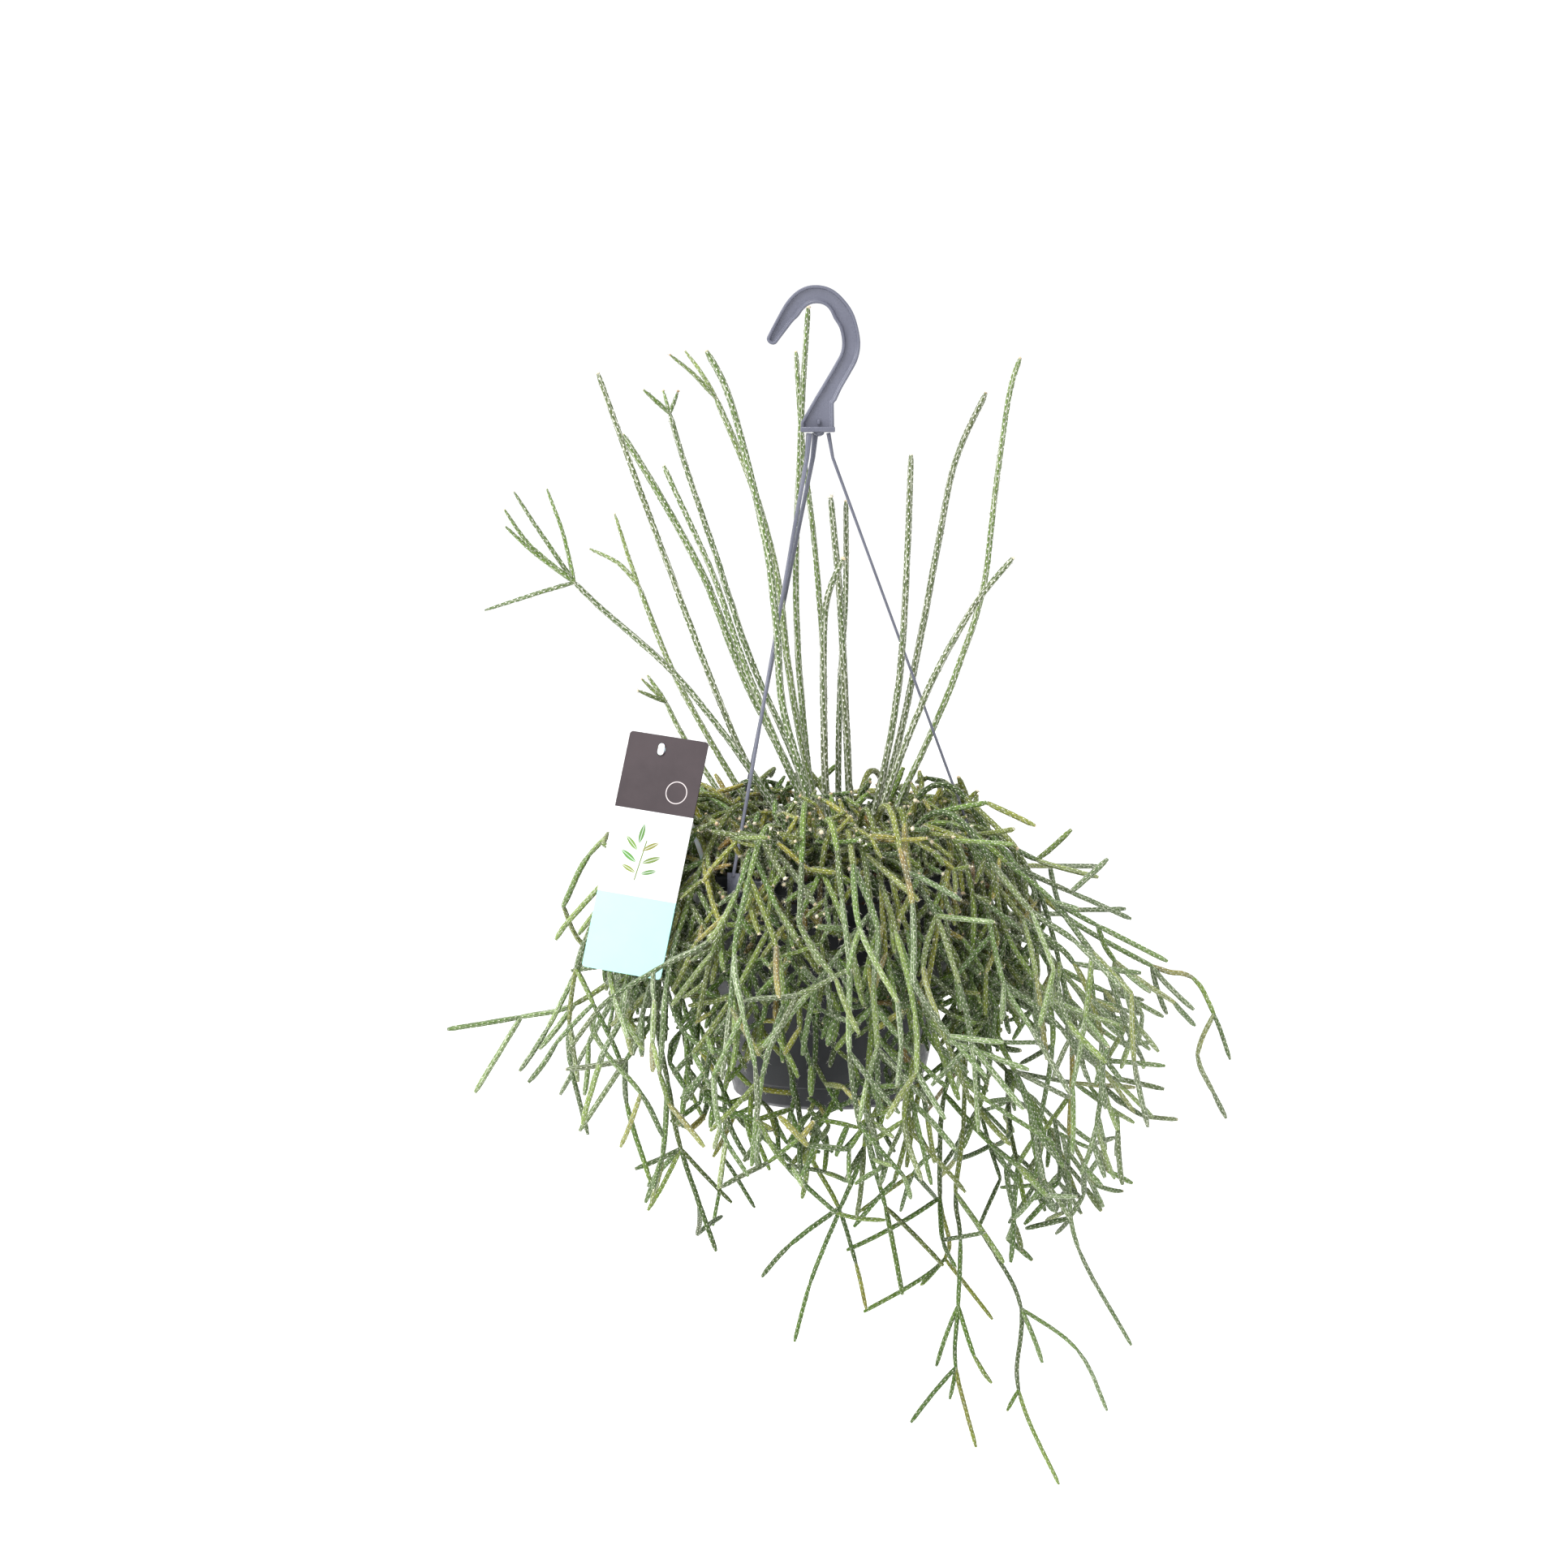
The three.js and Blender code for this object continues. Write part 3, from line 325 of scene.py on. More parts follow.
# Young shoots: joints from the soil to the tip, then the tips of the whorl at the end
shoots = [
    ([(-10, -28, -329), (-18, -34, -300), (-34, -36, -270), (-59, -34, -235), (-86, -33, -204),
      (-122, -35, -172), (-137, -38, -157)],
     [[(-143, -39, -130), (-152, -40, -104)], [(-155, -36, -131), (-171, -34, -106)],
      [(-161, -46, -136), (-175, -54, -115)], [(-157, -50, -141), (-174, -62, -124)],
      [(-159, -32, -164), (-189, -24, -174)]]),
    ([(-22, 18, -329), (-30, 19, -308), (-43, 20, -285), (-62, 22, -253), (-84, 26, -212), (-103, 30, -164)],
     [[(-110, 31, -144), (-117, 32, -122)], [(-115, 34, -151), (-132, 40, -143)]]),
    ([(2, -27, -329), (-7, -27, -307), (-36, -23, -268), (-57, -18, -222), (-80, -10, -162), (-105, -2, -95),
      (-125, 6, -40)], []),
    ([(3, 8, -329), (-2, 10, -300), (-22, 14, -256), (-43, 18, -213), (-65, 24, -158), (-90, 29, -112),
      (-112, 32, -76)], []),
    ([(5, -6, -329), (3, -6, -302), (-15, -3, -255), (-38, 2, -203), (-57, 7, -146), (-76, 11, -90),
      (-84, 12, -63)],
     [[(-99, 4, -49)], [(-88, 20, -50)], [(-79, 8, -50)]]),
    ([(4, -17, -329), (1, -18, -305), (-20, -16, -256), (-42, -14, -202), (-59, -12, -154), (-78, -10, -112),
      (-87, -9, -92)], []),
    ([(9, -40, -329), (5, -41, -312), (-8, -43, -267), (-19, -45, -225), (-23, -43, -174), (-30, -36, -127),
      (-48, -24, -56), (-62, -18, -27)], []),
    ([(7, 18, -329), (2, 15, -299), (-9, 12, -249), (-16, 10, -206), (-22, 8, -157), (-36, 4, -105),
      (-57, 0, -54)],
     [[(-70, -6, -40), (-83, -12, -29)], [(-66, 4, -39), (-75, 8, -27)], [(-63, 10, -43)]]),
    ([(1, 34, -329), (-1, 34, -298), (-6, 33, -250), (-10, 31, -199), (-11, 28, -149), (-9, 25, -91),
      (-7, 23, -48), (-4, 21, -2)], []),
    ([(10, 46, -329), (6, 46, -295), (6, 47, -251), (5, 47, -203), (0, 47, -141), (-7, 45, -83),
      (-11, 42, -28)], []),
    ([(14, -9, -329), (7, -8, -290), (5, -10, -226), (6, -12, -173), (16, -14, -145)], []),
    ([(25, 4, -329), (21, 6, -295), (18, 8, -240), (15, 11, -177), (9, 14, -111)], []),
    ([(17, 27, -329), (14, 26, -284), (15, 24, -224), (18, 22, -165), (18, 20, -114)], []),
    ([(28, -20, -329), (33, -22, -296), (43, -24, -248), (49, -27, -203), (52, -31, -145),
      (54, -34, -85)], []),
    ([(32, 22, -329), (37, 24, -301), (49, 26, -257), (60, 30, -205), (72, 34, -142), (82, 36, -92),
      (100, 40, -52)], []),
    ([(39, 8, -329), (47, 8, -294), (67, 8, -250), (83, 6, -210), (97, 4, -164), (104, 0, -105),
      (111, -4, -52), (117, -7, -31)], []),
    ([(31, -33, -329), (36, -34, -294), (52, -38, -248), (68, -42, -209), (90, -47, -169), (111, -54, -142)],
     []),
    ([(-36, 34, -329), (-44, 35, -308), (-57, 36, -286), (-77, 42, -255), (-88, 46, -234)],
     [[(-99, 54, -219)], [(-102, 42, -220)], [(-104, 34, -226)]]),
]
# Long trailing stems: the main line, then side lines that start at its joints
trailing = [
    ([(40, -44, -329), (56, -58, -304), (77, -72, -300), (88, -76, -330), (88, -76, -372), (85, -72, -420),
      (84, -70, -466), (80, -68, -504), (83, -66, -532), (82, -64, -571), (81, -62, -608), (93, -60, -656)],
     [[(81, -62, -608), (55, -68, -639)], [(81, -62, -608), (78, -54, -629)],
      [(82, -64, -571), (91, -70, -599), (101, -74, -614)], [(82, -64, -571), (70, -56, -609)],
      [(80, -68, -504), (102, -58, -540), (119, -52, -576), (118, -50, -625), (142, -48, -682)],
      [(118, -50, -625), (111, -58, -635)], [(119, -52, -576), (131, -60, -606)],
      [(119, -52, -576), (152, -46, -602), (170, -44, -639)]]),
    ([(56, -4, -329), (74, -12, -304), (100, -17, -302), (126, -15, -330), (142, -12, -380), (150, -10, -430),
      (149, -10, -483), (149, -10, -510), (155, -10, -551), (187, -8, -610)], []),
    ([(18, -56, -329), (22, -72, -306), (26, -94, -304), (30, -112, -335), (31, -108, -390), (29, -100, -430),
      (27, -96, -471), (14, -94, -506), (-3, -92, -550), (-12, -90, -585)], []),
    ([(-8, -52, -329), (-14, -66, -308), (-22, -92, -304), (-26, -104, -345), (-20, -94, -400),
      (-12, -84, -440), (-5, -80, -475), (13, -78, -510), (23, -76, -543), (29, -75, -570)], []),
    ([(52, -26, -329), (64, -40, -300), (76, -66, -304), (68, -92, -345), (58, -90, -400), (41, -80, -440),
      (30, -74, -470), (40, -69, -512), (50, -66, -564)], []),
    ([(46, -10, -329), (66, -18, -302), (92, -34, -302), (100, -46, -345), (92, -50, -400), (74, -50, -450),
      (72, -46, -512), (75, -46, -548), (28, -52, -578)],
     [[(75, -46, -548), (103, -42, -585)], [(72, -46, -512), (18, -58, -540)]]),
    ([(-42, 0, -329), (-58, -4, -306), (-86, -10, -304), (-104, -12, -340), (-110, -14, -380),
      (-140, -12, -405), (-171, -14, -412), (-214, -16, -419)],
     [[(-171, -14, -412), (-198, -18, -456)]]),
    ([(-26, -42, -329), (-30, -62, -306), (-36, -88, -302), (-44, -107, -324), (-60, -120, -350),
      (-84, -124, -362), (-122, -122, -389), (-118, -114, -412), (-98, -106, -438), (-86, -100, -464)],
     [[(-122, -122, -389), (-138, -120, -412)]]),
    ([(-42, -22, -329), (-56, -38, -306), (-74, -54, -304), (-84, -68, -345), (-90, -72, -400),
      (-84, -68, -440), (-77, -64, -479), (-57, -60, -540)],
     [[(-77, -64, -479), (-96, -60, -516)], [(-77, -64, -479), (-103, -68, -490)],
      [(-77, -64, -479), (-48, -58, -512)]]),
    ([(54, 22, -329), (70, 18, -306), (98, 12, -306), (141, 10, -352), (198, 10, -386), (222, 10, -393),
      (235, 10, -415), (245, 10, -442)],
     [[(198, 10, -386), (208, 16, -416)],
      [(235, 10, -415), (226, 14, -440), (236, 16, -463), (244, 18, -479)]]),
]


# Repeatable random numbers from 0 to 1
def makeRandom(seed):
    state = [seed]

    def draw():
        state[0] = (state[0] * 1664525 + 1013904223) & 0xFFFFFFFF
        return state[0] / 4294967296
    return draw


# Small balls along every solid, kept by the cell they lie in, so that new stems bend clear of it
cellSize = 9
beads = {}


def cellOf(place):
    return tuple(math.floor(value / cellSize) for value in place)


def beadsAlong(points):
    found = []
    along = 0
    for i in range(1, len(points)):
        span = distance(points[i], points[i - 1])
        count = max(1, math.ceil(span / stem["beadStep"]))
        for k in range(0 if i == 1 else 1, count + 1):
            found.append((toward(points[i - 1], points[i], k / count), along + span * k / count))
        along += span
    return found


def markSolid(points, radius, owner):
    for place, _ in beadsAlong(points):
        beads.setdefault(cellOf(place), []).append((place, radius, owner))


def wallRadius(z):
    bandZ = potBaseZ + pot["bandHeight"]
    rise = (z - bandZ) / (pot["rimZ"] - pot["lipDepth"] - bandZ)
    return pot["wallBase"] + (pot["wallTop"] - pot["wallBase"]) * max(0, rise)


def touchesPot(place, radius):
    margin = radius + stem["wallFree"]
    out = outFrom(place)
    if place[2] < potBaseZ - margin or place[2] > pot["rimZ"] + margin:
        return False
    if out > pot["lipRadius"] + margin:
        return False
    if out < pot["wallTop"] - 5 - margin:
        return place[2] < soil["topZ"] + soil["crownRise"] + margin
    if place[2] > pot["rimZ"] - pot["lipDepth"] - margin:
        return True
    return out < wallRadius(place[2]) + margin


# True where a line of stem runs clear of the pot and of every bead that isn't its own
def isClear(points, owner, freeStart, radius=stem["radius"], gap=stem["gap"] + stem["beadSlack"]):
    for place, along in beadsAlong(points):
        if touchesPot(place, radius):
            return False
        ci, cj, ck = cellOf(place)
        for i in (ci - 1, ci, ci + 1):
            for j in (cj - 1, cj, cj + 1):
                for k in (ck - 1, ck, ck + 1):
                    for other, otherRadius, otherOwner in beads.get((i, j, k), ()):
                        own = otherOwner == owner and along < freeStart
                        if not own and distance(place, other) < radius + otherRadius + gap:
                            return False
    return True


# A curve through all the points, sampled about every step
def smoothLine(points, step):
    line = [points[0]]
    for i in range(1, len(points)):
        a, b = points[max(0, i - 2)], points[i - 1]
        c, d = points[i], points[min(len(points) - 1, i + 1)]
        parts = max(1, math.floor(distance(b, c) / step + 0.5))
        for k in range(1, parts + 1):
            t = k / parts
            t2, t3 = t * t, t * t * t
            weights = (2 * t2 - t - t3, 2 - 5 * t2 + 3 * t3, t + 4 * t2 - 3 * t3, t3 - t2)
            place = (0, 0, 0)
            for point, weight in zip((a, b, c, d), weights):
                place = plus(place, point, weight / 2)
            line.append(place)
    return line


def rootBelow(point):
    return (point[0], point[1], soil["topZ"] - soil["rootDepth"])


def drawnStem(name, main, sides, step):
    chains = [[rootBelow(main[0])] + smoothLine(main, step)] + sides
    for chain in chains:
        markSolid(chain, stem["radius"], name)
    return {"name": name, "chains": chains, "tips": [], "reach": 1, "main": main}


# A direction turned away from the heading by an angle, towards a side picked by a second angle
def turned(heading, angle, side):
    across = (1, 0, 0) if abs(heading[2]) > 0.9 else (0, 0, -1)
    across = unit(cross(heading, across))
    other = cross(heading, across)
    lean = plus(times(across, math.cos(side)), other, math.sin(side))
    return plus(times(heading, math.cos(angle)), lean, math.sin(angle))


# True inside the bell of foliage round the pot, longer or shorter below by the plant's own reach
def insideSkirt(place, reach):
    depth = skirt["radiusZ"] * reach if place[2] < skirt["z"] else skirt["radiusZ"]
    x = (place[0] - skirt["x"]) / skirt["radiusX"]
    y = place[1] / skirt["radiusY"]
    z = (place[2] - skirt["z"]) / depth
    return x * x + y * y + z * z < 1


rootPlaces = []


def isClearRoot(start):
    free = 2 * stem["radius"] + stem["rootFree"]
    return all(math.hypot(other[0] - start[0], other[1] - start[1]) > free for other in rootPlaces)


def aroundPot(out, turn, z):
    return (pot["axisX"] + out * math.cos(turn), out * math.sin(turn), z)


# How far a place is from the pot's axis, and the level direction that leads away from it
def outFrom(place):
    return math.hypot(place[0] - pot["axisX"], place[1])


def outwardAt(place):
    return unit((place[0] - pot["axisX"], place[1], 0))


# The first part of a trailing stem: out of the soil, over the rim and down
def arcOverRim(name, index, habit, random):
    pitch = habit["arc"] / habit["count"]
    for attempt in range(growth["arcTries"]):
        near = pitch * growth["arcShift"] * (random() - 0.5)
        shift = near + growth["arcRetry"] * attempt * (random() - 0.5)
        turn = (habit["from"] + index * pitch + shift) * (math.pi / 180)
        rootOut = growth["roots"][index % len(growth["roots"])] + growth["rootShift"] * (random() - 0.5)
        topZ = pot["rimZ"] + between(growth["crownRise"], random())
        reach = between(habit["out"], random())
        endZ = pot["rimZ"] + between(habit["up"], random())
        twist = growth["arcTwist"] * (random() - 0.5)
        start = aroundPot(rootOut, turn, soil["topZ"] + soil["neck"])
        peakOut = rootOut + growth["arcPeak"] * (reach - rootOut)
        middle = aroundPot(peakOut, turn + twist / 2, 2 * topZ - (start[2] + endZ) / 2)
        end = aroundPot(reach, turn + twist, endZ)
        arc = []
        for i in range(growth["arcParts"] + 1):
            t = i / growth["arcParts"]
            place = plus(times(start, (1 - t) * (1 - t)), middle, 2 * t * (1 - t))
            arc.append(plus(place, end, t * t))
        aboveSoil = [toward(start, arc[1], growth["arcFoot"])] + arc[1:]
        if isClear(aboveSoil, name, 0) and isClearRoot(start):
            return [rootBelow(start)] + arc
    return None


# One section of stem from a joint, bent clear of what is already there, or nothing
def growSection(plant, tip, random):
    fullLength = between((growth["shortest"], growth["longest"]), random())
    outward = outwardAt(tip["place"])
    for attempt in range(growth["tries"]):
        spread = atLeast(growth["wander"], attempt)
        heading = plus(tip["heading"], outward, tip["spread"] * growth["pull"])
        heading = plus(heading, (0, 0, -1), tip["drop"])
        heading = unit(tuple(value + 2 * spread * (random() - 0.5) for value in heading))
        end = plus(tip["place"], heading, fullLength * (1 - growth["shorten"] * attempt))
        line = [tip["place"], end]
        inside = insideSkirt(end, plant["reach"])
        if attempt == 0 and not inside:
            return None
        if inside and isClear(line, plant["name"], stem["jointFree"]):
            return line, heading
    return None


def newTip(place, heading, life, drop, spread, chain=None):
    return {"place": place, "heading": heading, "life": life, "drop": drop, "spread": spread, "chain": chain}


# Every live tip grows one section on, and may fork at its end
def growOn(plant, random):
    tips, plant["tips"] = plant["tips"], []
    for tip in tips:
        section = growSection(plant, tip, random)
        if not section:
            continue
        line, heading = section
        markSolid(line, stem["radius"], plant["name"])
        if tip["chain"] is None:
            tip["chain"] = len(plant["chains"])
            plant["chains"].append([line[0]])
        plant["chains"][tip["chain"]].append(line[1])
        if tip["life"] <= 1:
            continue
        place = line[1]
        drop = min(growth["steepest"], tip["drop"] + growth["steepen"])
        ahead = turned(heading, atLeast(growth["aheadTurn"], random()), 2 * math.pi * random())
        spread = tip["spread"] * growth["calm"]
        plant["tips"].append(newTip(place, ahead, tip["life"] - 1, drop, spread, tip["chain"]))
        forks = 2 if random() < growth["forking"] else 1
        side = 2 * math.pi * random()
        for n in range(forks):
            aside = turned(heading, atLeast(growth["asideTurn"], random()),
                           side + n * (growth["forkTurn"] + random()))
            life = min(tip["life"] - 1, 1 + math.floor(growth["sideLife"] * random()))
            spread = atLeast(growth["sideSpread"], tip["spread"])
            plant["tips"].append(newTip(place, aside, life, drop * growth["sideDrop"], spread))


def startTrailer(name, index, habit, random):
    arc = arcOverRim(name, index, habit, random)
    if not arc:
        return None
    rootPlaces.append(arc[1])
    markSolid(arc, stem["radius"], name)
    place = arc[-1]
    heading = unit(apart(place, arc[-2]))
    aside = turned(heading, growth["secondTurn"], 2 * math.pi * random())
    spread = between(habit["flare"], random())
    tips = [newTip(place, heading, habit["life"], habit["drop"], spread, 0),
            newTip(place, aside, growth["secondLife"], habit["drop"], spread)]
    return {"name": name, "chains": [arc], "tips": tips, "reach": between(growth["skirtScale"], random()),
            "main": None}


def addTwigs(plant, random):
    main = plant["chains"][0]
    for i in range(2, len(main) - 1):
        if random() > growth["crownTwigs"]:
            continue
        along = unit(apart(main[i + 1], main[i - 1]))
        drop = 0 if main[i][2] > pot["rimZ"] - growth["twigLevel"] else growth["twigDrop"]
        heading = turned(along, atLeast(growth["twigTurn"], random()), 2 * math.pi * random())
        life = 1 + math.floor(growth["twigLife"] * random())
        plant["tips"].append(newTip(main[i], heading, life, drop, growth["twigSpread"]))


def strapLine(turn, top, bend):
    out = pot["lipRadius"] + strap["anchorOut"]
    return [top, bend, aroundPot(out, math.radians(turn), pot["rimZ"] + strap["anchorRise"])]


labelAcross = unit(label["across"])
labelNormal = unit(cross(labelAcross, label["down"]))
labelDown = cross(labelNormal, labelAcross)
labelWidth, labelHeight = length(label["across"]), length(label["down"])


def onLabel(across, along, out):
    return plus(plus(plus(label["corner"], labelAcross, across), labelDown, along), labelNormal, out)


def stripLine():
    out = pot["lipRadius"] + 0.3 + strip["thickness"]
    foot = aroundPot(out, math.radians(strip["rimTurn"]), pot["rimZ"] - strip["rimDrop"])
    behind = label["thickness"] + 0.3 + strip["thickness"] / 2
    return [onLabel(label["holeAcross"], label["holeDown"] - strip["rise"], behind), foot]


def markFittings():
    inPlane = [(x, 0, z) for x, z, _ in hook["line"]]
    markSolid(inPlane, beadRadius["hook"], "hanger")
    yokeFoot = ((hook["left"] + hook["right"]) / 2, 0, hook["footZ"])
    markSolid([inPlane[-1], yokeFoot], beadRadius["yoke"], "hanger")
    for _, turn, top, bend in strap["arms"]:
        markSolid(strapLine(turn, top, bend), strap["rootRadius"], "hanger")
    for turn in [turn for _, turn, _, _ in strap["arms"]] + [strip["rimTurn"]]:
        for aside in (-2, 0, 2):
            top = aroundPot(pot["lipRadius"] + 1, math.radians(turn + aside), pot["rimZ"] + 3)
            foot = (top[0], top[1], pot["rimZ"] - pot["lipDepth"])
            markSolid([top, foot], beadRadius["clip"], "clip")
    across = 0
    middle = label["thickness"] / 2
    while across <= labelWidth:
        ends = [onLabel(across, 0, middle), onLabel(across, labelHeight, middle)]
        markSolid(ends, beadRadius["tag"], "tag")
        across += stem["beadStep"]
    markSolid(stripLine(), beadRadius["tag_strip"], "tag_strip")


def growPlants():
    rootPlaces.extend(main[0] for main, _ in shoots + trailing)
    uprights = []
    for n, (main, whorl) in enumerate(shoots):
        sides = [[main[-1]] + tip for tip in whorl]
        uprights.append(drawnStem(f"upright_{n + 1:02d}", main, sides, stem["uprightStep"]))
    trailers = []
    for n, (main, sides) in enumerate(trailing):
        trailers.append(drawnStem(f"trailing_{n + 1:02d}", main, sides, stem["trailingStep"]))
    random = makeRandom(growth["seed"])
    for habit in growth["habits"]:
        for index in range(habit["count"]):
            trailer = startTrailer(f"trailing_{len(trailers) + 1:02d}", index, habit, random)
            if trailer:
                trailers.append(trailer)
    for plant in trailers:
        addTwigs(plant, random)
    for _ in range(growth["rounds"]):
        for plant in trailers:
            growOn(plant, random)
    return uprights, trailers


markFittings()
uprights, trailers = growPlants()
print("plan:", len(uprights), "young shoots,", len(trailers), "trailing stems,",
      sum(len(plant["chains"]) for plant in uprights + trailers), "lines")

# What the eye sees of each stem, in mm: its radius by place, the sag of a section, and where wool, warm
# colour, silvery hair and a painted glare that pales the outer stems come and go
foliage = {
    "seed": 23, "uprightGirth": (2.16, 1.95), "tallZ": -150, "whorlGirth": 1.4, "crownGirth": 1.85,
    "trailGirth": (1.75, 1.4), "crownZ": -345, "lowZ": -560, "girthSpread": (0.93, 1.07),
    "sag": (0.008, 0.03), "lineStep": 8, "whorlStep": 6, "rootEnd": 9, "arcSpans": 3,
    "fadeZ": -400, "fadeDepth": 60, "fadeOut": 150, "fadeWidth": 40, "frostGlareOut": 105, "frostGlareWidth": 60,
    "warmest": (0, 0.9), "frostGlareRange": (0.3, 1), "woollyShare": 0.6, "jointWool": 0.62, "tipWool": (0.4, 0.6),
    "thinned": (-70, -345), "thinning": 0.62, "thinRounds": 3,
    "twigGirth": (1.45, 1.85), "twigGap": -1.2, "twigFree": 7, "forks": 0.5, "forkTurn": (0.5, 0.4),
    "forkApart": 2.6, "boxFree": 3,
}
keys = ("girth", "neck", "close", "slim", "tint", "warm", "frost", "fuzz", "woolStart", "woolEnd")


def smoothSpans(points, step):
    counts = [max(1, math.floor(distance(a, b) / step + 0.5)) for a, b in zip(points, points[1:])]
    line = smoothLine(points, step)
    spans, first = [], 0
    for count in counts:
        spans.append(line[first:first + count + 1])
        first += count
    return spans


# A section between two joints sags a little, or bends to one side
def bowed(start, end, random):
    span = distance(start, end)
    heading = unit(apart(end, start))
    lean = turned(heading, math.pi / 2, 2 * math.pi * random())
    lean = plus(lean, (0, 0, -1), 0.4)
    amount = span * between(foliage["sag"], random())
    return [plus(toward(start, end, t), lean, amount * 4 * t * (1 - t)) for t in (0, 0.25, 0.5, 0.75, 1)]


# The sections of a hanging line bend into each other
def hanging(points, random):
    if len(points) > 2:
        return smoothSpans(points, foliage["lineStep"])
    return [bowed(start, end, random) for start, end in zip(points, points[1:])]


def girthAt(z):
    return between(foliage["trailGirth"], shareOf(foliage["crownZ"], z, foliage["crownZ"] - foliage["lowZ"]))


# 1 in the crown, falling to 0 below it and outside it
def crownShare(place):
    high = shareOf(place[2], foliage["fadeZ"], foliage["fadeDepth"])
    return high * shareOf(foliage["fadeOut"], outFrom(place), foliage["fadeWidth"])


def newSection(line, random, girth, **values):
    young = crownShare(line[len(line) // 2])
    # painted glare: sections that end farther out from the pot turn paler and more silvery, as if lit from
    # behind
    outerGlare = shareOf(outFrom(line[-1]), foliage["frostGlareOut"], foliage["frostGlareWidth"])
    section = {
        "line": line, "girth": girth * between(foliage["girthSpread"], random()), "neck": 0.72, "close": 0.8,
        "slim": 0.06, "tint": random(),
        "warm": max(young * between(foliage["warmest"], random()), 1.6 * random() - 0.9),
        "frost": outerGlare * between(foliage["frostGlareRange"], random()), "fuzz": 0.5 + 0.5 * young,
        "woolStart": foliage["jointWool"] if random() < foliage["woollyShare"] else 0.0, "woolEnd": 0.0,
    }
    section.update(values)
    return section


def rootEnd(line):
    return [plus(line[0], (0, 0, -1), foliage["rootEnd"])]


def uprightSections(plant, random):
    main = plant["main"]
    line = rootEnd(main) + smoothLine(main, foliage["lineStep"])
    tint = random()
    girth = foliage["uprightGirth"][0] if main[-1][2] > foliage["tallZ"] else foliage["uprightGirth"][1]
    sections = [newSection(line, random, girth, tint=tint, warm=0.1 * random(), fuzz=1.0, neck=1.0,
                           close=0.62, slim=0.2, frost=0.5 + 0.5 * random(), woolStart=0.0, woolEnd=0.6)]
    for tip in plant["chains"][1:]:
        line = smoothLine(tip, foliage["whorlStep"])
        sections.append(newSection(line, random, foliage["whorlGirth"], tint=tint, warm=0.3 + 0.5 * random(),
                                   fuzz=0.9, neck=0.7, close=0.45, slim=0.4, frost=0.3, woolStart=0.7,
                                   woolEnd=0.0))
    return sections


def trailingSections(plant, random):
    chains = plant["chains"]
    if plant["main"]:
        spans = smoothSpans(plant["main"], foliage["lineStep"])
        arc = [place for span in spans[:foliage["arcSpans"]] for place in span[1:]]
        arc = rootEnd(plant["main"]) + arc
        later = spans[foliage["arcSpans"]:]
    else:
        count = growth["arcParts"] + 2
        arc = smoothLine(chains[0][1:count], foliage["lineStep"])
        arc = rootEnd(arc) + arc
        later = hanging(chains[0][count - 1:], random)
    for chain in chains[1:]:
        later += hanging(chain, random)
    sections = [newSection(arc, random, foliage["crownGirth"], neck=1.0, woolStart=0.0, fuzz=0.9)]
    for line in later:
        sections.append(newSection(line, random, girthAt(line[0][2])))
    return sections


# The same place, however it was reached
def spotOf(place):
    return tuple(round(value, 1) for value in place)


def startSpots(sections):
    return {spotOf(section["line"][0]) for section in sections}


# The bush hangs more open on its left: some of the lines that weren't drawn lose their last sections
def thinOut(sections, random):
    for _ in range(foliage["thinRounds"]):
        starts = startSpots(sections)
        kept = []
        for section in sections:
            end = section["line"][-1]
            isTip = spotOf(end) not in starts
            isOpen = end[0] < foliage["thinned"][0] and end[2] < foliage["thinned"][1]
            if not (isTip and isOpen and random() < foliage["thinning"]):
                kept.append(section)
        sections = kept
    return sections


# The zones of the bush that short twigs fill, in mm, with out measured from the pot's axis. A twig
# strays to the sides, rises by a least value and a random extra, and is pulled outward.
hung = {"length": (16, 36), "stray": 1.3, "rise": (-0.25, -0.7), "pull": 0.3}
crownZone = {
    "twigs": 1700, "length": (9, 26), "stray": 1.4, "rise": (-0.4, 1.2), "pull": 0.3, "out": 100,
    "lowZ": -336, "topZ": -272, "waves": ((7, 3, 0.6), (5, 7, 0)), "fall": 0.0024,
}
drapeZone = {
    "twigs": 1150, "length": (16, 36), "stray": 1.9, "rise": (-0.3, -0.8), "level": 0.1, "levelZ": -306,
    "pull": 0.2, "rimPull": 0.6, "pullZ": -325, "out": (62, 118), "flare": 0.1, "lowZ": -400,
}
mantleZone = {
    **hung, "twigs": 1500, "length": (9, 26), "out": (66, 116), "flare": 0.14, "lowZ": -468, "slope": 0.4,
    "slopeX": 10, "leftX": -84,
}
sideZone = {
    **hung, "twigs": 270, "left": {"x": (-122, -84), "z": (-425, -296)},
    "right": {"x": (130, 198), "z": (-438, -372)},
}
hemZone = {**hung, "twigs": 70, "z": (-565, -455), "leftX": 104}
footZone = {**hung, "twigs": 70, "x": (-60, 45), "z": (-488, -440), "backY": 20}
shoulder = {"z": -288, "x": 60, "slope": 0.45}
flareZ = -290
skirtReach = 0.98


def twigHeading(zone, place, random):
    heading = (zone["stray"] * (random() - 0.5), zone["stray"] * (random() - 0.5),
               atLeast(zone["rise"], random()))
    return unit(plus(heading, outwardAt(place), zone["pull"]))


# On the rim the twigs lie level and reach out, and below it they hang
def drapeHeading(zone, place, random):
    heading = [zone["stray"] * (random() - 0.5), zone["stray"] * (random() - 0.5), zone["level"]]
    if place[2] < zone["levelZ"]:
        heading[2] = atLeast(zone["rise"], random())
    pull = zone["rimPull"] if place[2] > zone["pullZ"] else zone["pull"]
    return unit(plus(heading, outwardAt(place), pull))


def isWithin(limits, value):
    return limits[0] < value < limits[1]


# The bush slopes down to its right
def shoulderZ(place):
    return shoulder["z"] - shoulder["slope"] * max(0, place[0] - shoulder["x"])


